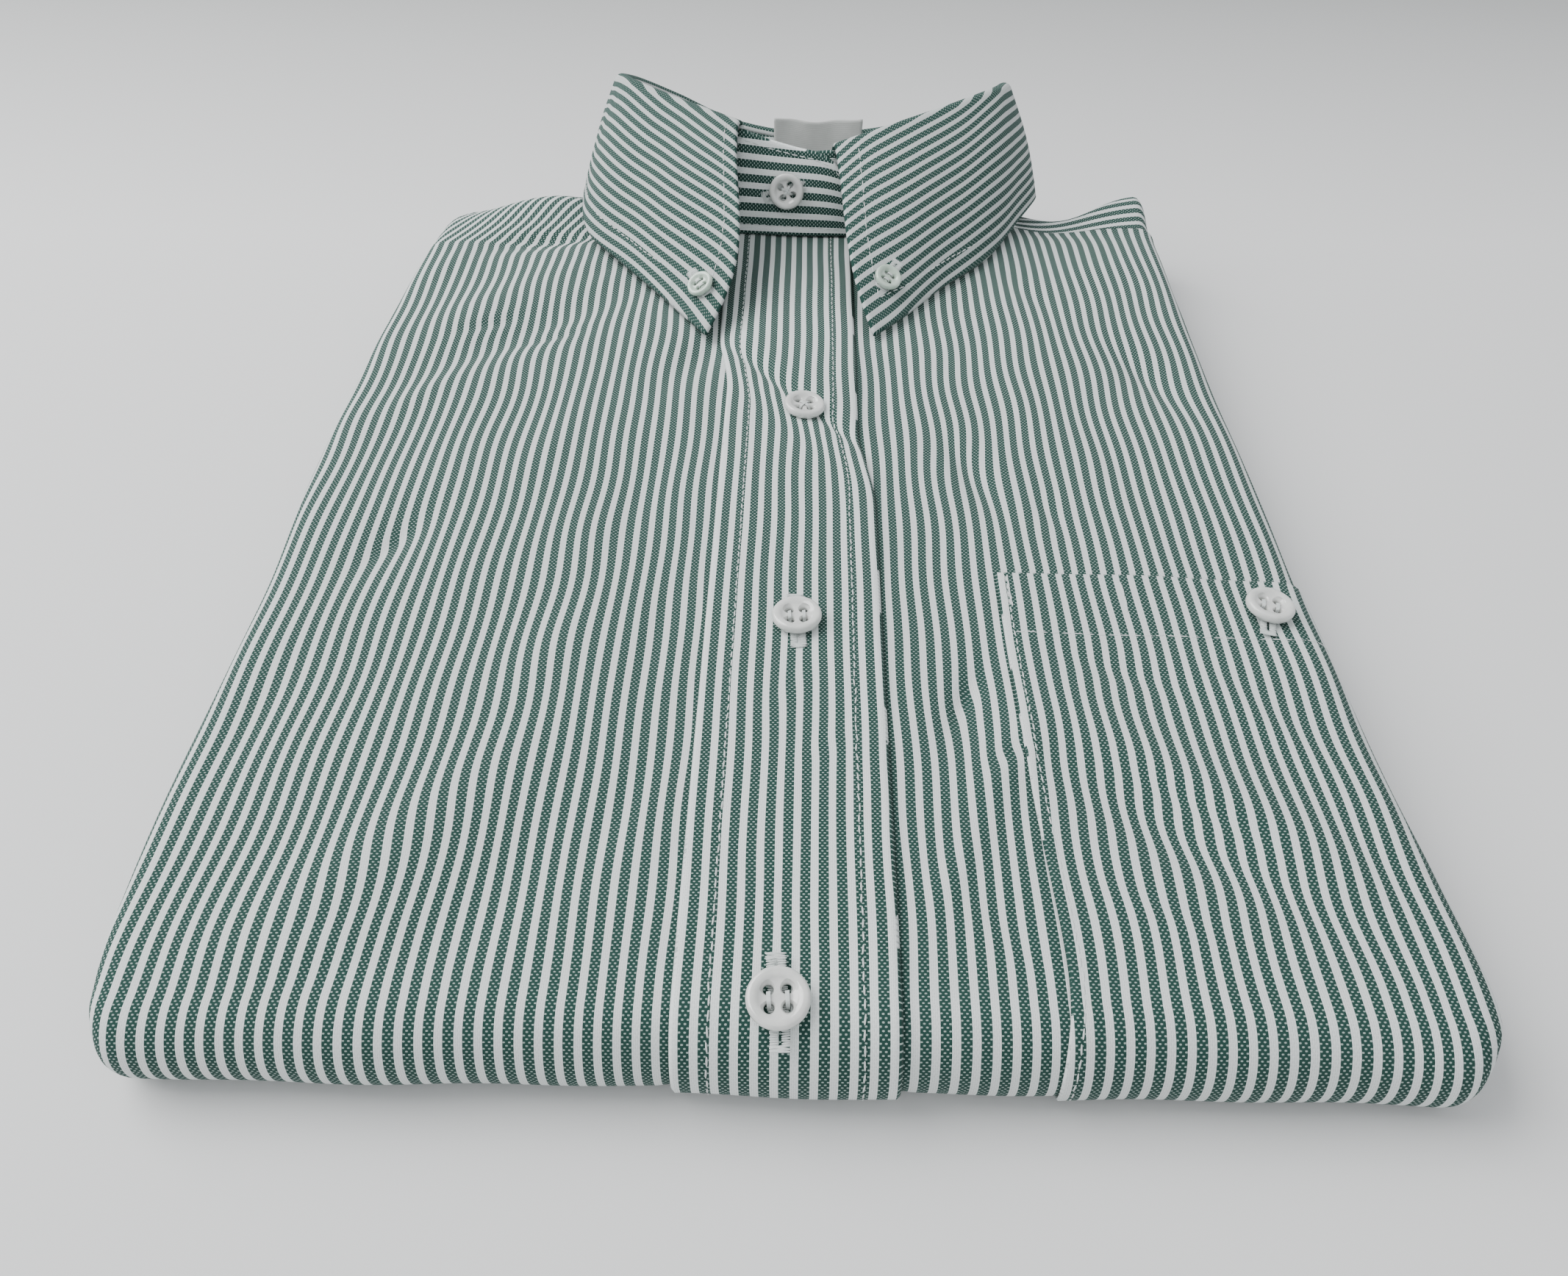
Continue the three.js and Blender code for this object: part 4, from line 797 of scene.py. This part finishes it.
# The layers that show round the stack's edge: near, far, in from the left, in from the right, low, top.
LAYERS = ((-149, 139, 4.4, 4.4, 2.2, 4.0), (-149, 147, 4.8, 4.8, 4.1, 5.6), (-148, 142, 6.5, 6.0, 5.8, 7.2),
          (-147, 150, 3.6, 3.4, 7.4, 8.8), (-149, 151, 3.2, 3.2, 9.2, 10.6), (-149, 148, 5.4, 4.8, 10.9, 12.0),
          (110, 166, 66, 66, 5.4, 9.2), (120, 182, 88, 88, 4.6, 8.8))
layers = [rounded_layer(*row, lean=1.7 * k) for k, row in enumerate(LAYERS)]


# The stack's middle: its near and far ends, how far it keeps in from the sides and beneath the chest, its
# edges' round, and the heights of its floor and of its edge.
CORE_ENDS, CORE_IN, CORE_UNDER, CORE_ROUND, CORE_FLOOR, CORE_EDGE = (-147.0, 124.0), 7.5, 2.2, 5, 12.4, 13.5


def core():
    """The rounded middle of the stack, under the chest's own height."""
    y = np.linspace(*CORE_ENDS, 120)[:, None]
    left, right = read(BODY, y, "left") + CORE_IN, read(BODY, y, "right") - CORE_IN
    share = np.linspace(0, 1, 90)[None, :]
    x = mix(left, right, share)
    soft = np.minimum(np.minimum(share, 1 - share) * (right - left), CORE_ROUND) / CORE_ROUND
    top = together(x, y, mix(CORE_EDGE, chest_height(x, y) - CORE_UNDER, np.sqrt(soft * (2 - soft))))
    floor = together(x, y, CORE_FLOOR)
    rows, columns = top.shape[:2]
    ring, count = border(rows, columns), rows * columns
    nxt = np.roll(ring, -1)
    faces = np.concatenate([quads(rows, columns)[:, ::-1], quads(rows, columns, count),
                            np.stack([ring, nxt, count + nxt, count + ring], -1)[:, ::-1]])
    points = np.concatenate([top, floor]).reshape(-1, 3)
    return points, faces, points[:, :2]


inner = piece("inner_layers_cloth", *join(*layers, core()), INNER_SKIN, "inner_cloth")
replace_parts(inner, "inner_layers")


# ---- buttons

BUTTON = dict(across=11.4, thick=2.4, hole=0.92, hole_out=1.6)
POINT_SIZES = dict(across=8.4, thick=2.0, hole=0.6, hole_out=1.1)
# How far a button stands off the cloth, and its dished middle's height as a share of its thickness.
BUTTON_LIFT, DISH = 0.45, 0.62
# How far the bars of a buttonhole stand off the cloth.
HOLE_LIFT = 0.1


def turned(profile, around=72):
    """A closed turned solid: the profile (out, up), from the axis below to the axis above, swept round Z."""
    out, up = np.array(profile, float).T
    angle = np.linspace(0, 2 * np.pi, around, endpoint=False)[None, :]
    ring = together(out[1:-1, None] * np.cos(angle), out[1:-1, None] * np.sin(angle), up[1:-1, None])
    low, last = ring.size // 3, ring.size // 3 - around
    pairs = [(k, (k + 1) % around) for k in range(around)]
    faces = tube(len(ring), around).tolist() + [[b, a, low] for a, b in pairs]
    faces += [[last + a, last + b, low + 1] for a, b in pairs]
    return np.concatenate([ring.reshape(-1, 3), [[0, 0, up[0]], [0, 0, up[-1]]]]), faces


def rounded(corners, radius, count=5):
    """A profile whose inner corners are rounded by quadratic arcs that start `radius` before each."""
    path = [np.array(corners[0], float)]
    for before, at, after in zip(corners[:-2], corners[1:-1], corners[2:]):
        before, at, after = (np.array(p, float) for p in (before, at, after))
        first = at + (before - at) * min(radius / np.linalg.norm(before - at), 0.45)
        last = at + (after - at) * min(radius / np.linalg.norm(after - at), 0.45)
        t = np.linspace(0, 1, count)[:, None]
        path += list((1 - t) ** 2 * first + 2 * t * (1 - t) * at + t ** 2 * last)
    return path + [np.array(corners[-1], float)]


def bare_object(name, points, faces):
    """An object that isn't a piece of the shirt: a floor, or a form used to cut another."""
    mesh = bpy.data.meshes.new(name)
    mesh.from_pydata(points.tolist(), [], faces)
    return linked(name, mesh)


def button_shape(across, thick, hole, hole_out):
    """A shirt button: a broad soft rim round a dished middle with four holes that flare at both faces."""
    half, dish, flare = across / 2, thick * DISH, 0.28 * hole
    body = rounded([(0, 0), (half * 0.86, 0), (half, thick * 0.45), (half * 0.93, thick), (half * 0.70, thick),
                    (half * 0.52, thick * 0.66), (0, dish)], thick * 0.32)
    drill = rounded([(0, -1), (hole + flare + 0.4, -0.5), (hole, flare + 0.1), (hole, dish - flare - 0.1),
                     (hole + flare + 0.4, dish + 0.5), (0, dish + 1)], 0.25, 4)
    solid = bare_object("button_blank", *turned(body))
    points, faces = turned(drill, 28)
    starts = [(sx * hole_out, sy * hole_out) for sx in (1, -1) for sy in (1, -1)]
    cutter = bare_object("button_drill", np.concatenate([points + (x, y, 0) for x, y in starts]),
                         [[v + k * len(points) for v in face] for k in range(4) for face in faces])
    cut = solid.modifiers.new("holes", "BOOLEAN")
    cut.operation, cut.solver, cut.object = "DIFFERENCE", "EXACT", cutter
    graph = bpy.context.evaluated_depsgraph_get()
    mesh = bpy.data.meshes.new_from_object(solid.evaluated_get(graph))
    points = np.zeros(len(mesh.vertices) * 3, np.float32)
    mesh.vertices.foreach_get("co", points)
    faces = [list(face.vertices) for face in mesh.polygons]
    for obj in (solid, cutter):
        bpy.data.objects.remove(obj)
    return points.reshape(-1, 3), faces


def frame_on(normal, turn=0.0):
    """Axes of a thing lying on a surface: across, along and out, turned round the normal by `turn` degrees."""
    out = unit(np.asarray(normal, float))
    across = unit(np.cross([0, 1, 0], out))
    return np.stack([*spun(across, np.cross(out, across), turn), out])


def chest_seat(x, y, lean, roll, lift):
    """A place `lift` off the chest and the normal there, leaned towards -Y and rolled towards +X in degrees."""
    step = 12.0
    slope = np.array([chest_height(x + step, y) - chest_height(x - step, y),
                      chest_height(x, y + step) - chest_height(x, y - step)]) / (2 * step)
    normal = unit(np.array([-slope[0] + np.tan(np.radians(roll)), -slope[1] - np.tan(np.radians(lean)), 1.0]))
    return np.array([x, y, chest_height(x, y)]) + normal * lift, normal


# ---- sewing

def at_grid(points, row, column):
    """Points between a grid's rows and columns by bilinear blending, and the outward normals there."""
    normal = grid_normals(points)
    i = np.clip(np.floor(row).astype(int), 0, points.shape[0] - 2)
    j = np.clip(np.floor(column).astype(int), 0, points.shape[1] - 2)
    s, t = (row - i)[:, None], (column - j)[:, None]

    def blend(values):
        return ((values[i, j] * (1 - t) + values[i, j + 1] * t) * (1 - s)
                + (values[i + 1, j] * (1 - t) + values[i + 1, j + 1] * t) * s)

    return blend(points), unit(blend(normal))


def follow(points, rows, columns, pitch, lift):
    """Even steps along a line across a grid, `lift` off it: places, headings and normals."""
    fine = np.linspace(0, 1, 900)
    stops = np.linspace(0, 1, len(rows))
    place, normal = at_grid(points, np.interp(fine, stops, rows), np.interp(fine, stops, columns))
    place = place + normal * lift
    passed = run(place)
    at = np.arange(pitch / 2, passed[-1], pitch)

    def sample(values, where):
        return np.stack([np.interp(where, passed, values[:, k]) for k in range(3)], -1)

    ahead = sample(place, np.minimum(at + 0.4, passed[-1])) - sample(place, np.maximum(at - 0.4, 0))
    return sample(place, at), unit(ahead), unit(sample(normal, at))


def stitches(places, headings, normals, long, wide, high):
    """One soft rounded dash a place: rings of radius sqrt(1 - t²) along its heading."""
    t = np.array([-1.0, -0.72, 0.0, 0.72, 1.0])
    size = np.array([0.35, 0.78, 1.0, 0.78, 0.35])
    angle = np.linspace(0, 2 * np.pi, 8, endpoint=False)
    local = np.stack([np.repeat(t * long / 2, 8), np.outer(size, np.cos(angle)).ravel() * wide / 2,
                      np.outer(size, np.sin(angle)).ravel() * high / 2], -1)
    axes = np.stack([headings, np.cross(normals, headings), normals], 1)
    points = np.einsum("pk,nkc->npc", local, axes) + places[:, None, :]
    cap = np.array([[0, 7, 2, 1], [7, 6, 3, 2], [6, 5, 4, 3]])
    faces = np.concatenate([tube(5, 8), cap, cap[:, ::-1] + 32])
    count = len(places)
    every = (np.arange(count)[:, None, None] * 40 + faces[None]).reshape(-1, 4)
    return points.reshape(-1, 3), every, np.zeros((count * 40, 2))


def seam(points, rows, columns, lift, pitch=2.6, long=1.9, wide=0.36, high=0.24):
    """A row of lockstitches along a line across a grid, each turned and shifted aside a little unevenly."""
    place, heading, normal = follow(points, rows, columns, pitch, lift)
    side = np.cross(normal, heading)
    heading = unit(heading + side * RNG.normal(0, 0.06, (len(place), 1)))
    place = place + side * RNG.normal(0, 0.06, (len(place), 1))
    return stitches(place, heading, normal, long, wide, high)


def buttonhole(centre, axes, long=17.0, half=1.9, pitch=0.42):
    """Two close rows of bars beside a slit, with a longer bar across each end."""
    at = np.arange(-long / 2 + 0.9, long / 2 - 0.9, pitch)
    along = np.r_[at, at, np.full(4, -long / 2) + np.arange(4) * 0.28, np.full(4, long / 2) - np.arange(4) * 0.28]
    across = np.r_[np.full(len(at), -half / 1.9), np.full(len(at), half / 1.9), np.zeros(8)]
    length = np.r_[np.full(2 * len(at), half * 0.82), np.full(8, half * 2.0)]
    place = centre + across[:, None] * axes[0] + along[:, None] * axes[1]
    heading = unit(axes[0] + axes[1] * RNG.normal(0, 0.10, (len(along), 1)))
    out = np.broadcast_to(axes[2], heading.shape)
    return join(*[stitches(place[length == size], heading[length == size], out[length == size], size, 0.42, 0.32)
                  for size in np.unique(length)])


def strand(path, thick):
    """A thread of radius `thick` / 2 along points: rings across each point's heading, closed at both ends."""
    around = 6
    path = np.asarray(path, float)
    heading = unit(np.gradient(path, axis=0))
    side = unit(np.cross(heading, [0.13, 0.31, 0.94]))
    other = np.cross(heading, side)
    angle = np.linspace(0, 2 * np.pi, around, endpoint=False)
    size = np.r_[0.4, np.ones(len(path) - 2), 0.4][:, None, None] * thick / 2
    ring = path[:, None, :] + size * (np.cos(angle)[None, :, None] * side[:, None, :]
                                      + np.sin(angle)[None, :, None] * other[:, None, :])
    cap = np.array([[0, 5, 4, 1], [1, 4, 3, 2]])
    faces = np.concatenate([tube(len(path), around), cap, cap[:, ::-1] + (len(path) - 1) * around])
    return ring.reshape(-1, 3), faces, np.zeros((len(path) * around, 2))


def button_thread(seat, axes, out, height, bars):
    """Thread through a button's holes: for each bar a small arch between two holes, several strands thick."""
    parts = []
    for (x0, y0), (x1, y1) in bars:
        for k in range(4):
            shift = (k - 1.5) * 0.17
            t = np.linspace(0, 1, 13)
            x, y = mix(x0, x1, t) * out, mix(y0, y1, t) * out
            turn = np.array([y1 - y0, x0 - x1]) / np.hypot(x1 - x0, y1 - y0)
            rise = height * (1 - (2 * t - 1) ** 6) - 1.3 * np.abs(2 * t - 1) ** 8 + 0.05 * k
            local = together(x + turn[0] * shift, y + turn[1] * shift, rise)
            parts.append(strand(local @ axes + seat, 0.24))
    return join(*parts)


# The bars of thread that show between a button's holes.
UPRIGHT = (((-1, -1), (-1, 1)), ((1, -1), (1, 1)))
LEVEL = (((-1, -1), (1, -1)), ((-1, 1), (1, 1)))
CROSSED = (((-1, -1), (1, 1)), ((1, -1), (-1, 1)))
PEARL_BUTTON = (button_shape(**BUTTON), BUTTON, PEARL, "pearl_button")
POINT_BUTTON = (button_shape(**POINT_SIZES), POINT_SIZES, POINT_RESIN, "point_button")
threads, holes = [], []


def sew_button(name, kind, seat, axes, bars, hole_up=0.0, long=17.0, turn=0.0):
    """A button on its seat, its thread, and the buttonhole that shows on either side of it."""
    (points, faces), sizes, material, slot = kind
    mesh = bpy.data.meshes.new(name + "_resin")
    at = points @ axes + seat + axes[2] * BUTTON_LIFT
    mesh.from_pydata(((at + ROW_SHIFT) * MM).tolist(), [], faces)
    mesh.polygons.foreach_set("use_smooth", np.ones(len(mesh.polygons), bool))
    mesh.set_sharp_from_angle(angle=0.6)
    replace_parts(placed(name + "_resin", mesh, material), name)
    middle = BUTTON_LIFT + sizes["thick"] * DISH
    threads.append(button_thread(seat, axes, sizes["hole_out"], middle + 0.22, bars))
    lie = np.stack([*spun(axes[0], axes[1], turn), axes[2]])
    holes.append(buttonhole(seat + hole_up * axes[1] + HOLE_LIFT * axes[2], lie, long))


for number, (place, bars) in enumerate(zip(PLACKET_BUTTONS, (CROSSED, UPRIGHT, UPRIGHT))):
    seat, normal = chest_seat(*place, LIE + CLOTH)
    sew_button(f"button_placket_{number + 1}", PEARL_BUTTON, seat, frame_on(normal, 4), bars)
seat, normal = chest_seat(*POCKET_BUTTON, LIE + POCKET_CLOTH)
sew_button("button_pocket", PEARL_BUTTON, seat, frame_on(normal, -14), UPRIGHT)


def collar_seat(points, turns, turn, row, lift):
    """A place `lift` off a collar grid at a turn and a row, and the normal there."""
    column = np.interp(turn, turns, np.arange(len(turns)))
    place, normal = at_grid(points, np.array([float(row)]), np.array([column]))
    return place[0] + normal[0] * lift, normal[0]


seat, normal = collar_seat(band_points, band_turn, 264.5, (len(band_points) - 1) / 2, 0.6)
sew_button("button_band", PEARL_BUTTON, seat, frame_on(normal, 6), CROSSED, long=16.0, turn=90)
# The point buttons: how far down the leaf, at which turn, and how they are turned themselves.
for name, down, turn, slant in (("right", 0.80, -73.6, -20), ("left", 0.86, 245.6, 20)):
    row = ROLL_STEPS - 1 + down * FALL_STEPS
    seat, normal = collar_seat(leaf_points, leaf_turn, turn, row, 0.75)
    sew_button(f"button_point_{name}", POINT_BUTTON, seat, frame_on(normal, slant), LEVEL, hole_up=2.2, long=12.0)
piece("button_threads", *join(*threads), THREAD)
piece("buttonhole_stitching", *join(*holes), THREAD)

# Rows of stitching: down both edges of the placket, round the pocket and its hem, and round the collar.
middle, inset = (placket_points.shape[1] - 1) / 2, PLACKET_WIDTH / 2 - 6.1
last_row = len(placket_points) - UNDER_ROWS - 4.0
piece("placket_stitching", *join(*[seam(placket_points, (0, last_row), (middle + side * inset,) * 2, 1.5)
                                   for side in (-1, 1)]), THREAD)

hem = float(np.argmin(np.abs(pocket_points[:, 0, 1] - POCKET_HEM_Y)))
last_row, last_column = len(pocket_points) - 2.0, pocket_points.shape[1] - 2.0
# The close bars that hold the pocket's corner and its hem: column, first row and rows.
bars = ((1.2, 1.0, 8), (1.9, 1.0, 8), (23.4, 2.6, 7))
piece("pocket_stitching", *join(
    seam(pocket_points, (hem, hem), (1.5, last_column), 0.86, wide=0.36, high=0.2),
    seam(pocket_points, (0.8, last_row), (1.6, 1.6), 0.86, wide=0.34, high=0.18),
    *[seam(pocket_points, (top, top + tall), (left, left), 0.9, 0.55, 1.4, 0.42, 0.3) for left, top, tall in bars]),
    THREAD)

LEAF_INSET = 6.0
edge_row = len(leaf_points) - 1.0 - LEAF_INSET / LEAF_WIDE * FALL_STEPS
first, last = LEAF_INSET / steps(leaf_points[40])[[0, -1]]
last = leaf_points.shape[1] - 1.0 - last
band_end = band_points.shape[1] - 4.0
piece("collar_stitching", *join(
    seam(leaf_points, (ROLL_STEPS, edge_row), (first, first), 0.75),
    seam(leaf_points, (edge_row, edge_row), (first, last), 0.75),
    seam(leaf_points, (ROLL_STEPS, edge_row), (last, last), 0.75),
    *[seam(band_points, (row, row), (2, band_end), 0.62) for row in (len(band_points) - 3.6, 2.2)]), THREAD)


# ---- camera, light, floor

def stage_floor():
    """A wide pale table, a little darker far behind the shirt."""
    do = Finish("pale_table")
    far = do.share(do.math("MULTIPLY", do.math("SUBTRACT", do.axis(do.place, "Y"), 0.16), 3.4))
    material = do.made(do.blend(far, (0.73, 0.73, 0.725), (0.43, 0.435, 0.43)), 0.75, Specular_IOR_Level=0.2)
    top = bare_object("table_top", np.array([(-3, -3, 0), (3, -3, 0), (3, 3, 0), (-3, 3, 0)]), [(0, 1, 2, 3)])
    top.data.materials.append(material)


def aimed_light(name, place, size, power):
    """A square soft light that faces the shirt's middle on the table."""
    light = bpy.data.lights.new(name, "AREA")
    light.shape, light.size, light.energy = "SQUARE", size, power
    obj = linked(name, light)
    obj.location = x, y, z = place
    obj.rotation_euler = (np.arctan2(np.hypot(x, y), z), 0, np.arctan2(x, -y))


CAMERA_AT, CAMERA_TILT, CAMERA_TURN, CAMERA_LENS = np.array([2.6, -265.0, 212.0]), 47.0, 0.0186, 28.69


def camera_and_light():
    camera = bpy.data.cameras.new("camera")
    camera.lens, camera.sensor_width, camera.clip_start = CAMERA_LENS, 36, 0.01
    holder = linked("camera", camera)
    holder.location = (CAMERA_AT + ROW_SHIFT) * MM
    holder.rotation_euler = (np.radians(CAMERA_TILT), 0, CAMERA_TURN)
    bpy.context.scene.camera = holder
    aimed_light("window", (-1.15, 0.30, 1.30), 1.6, 50)
    aimed_light("fill", (0.5, -1.2, 1.3), 1.8, 6)
    world = bpy.data.worlds.new("studio")
    world.use_nodes = True
    sky = world.node_tree.nodes["Background"].inputs
    sky["Color"].default_value, sky["Strength"].default_value = (0.93, 0.96, 1.0, 1), 0.76
    bpy.context.scene.world = world


stage_floor()
camera_and_light()
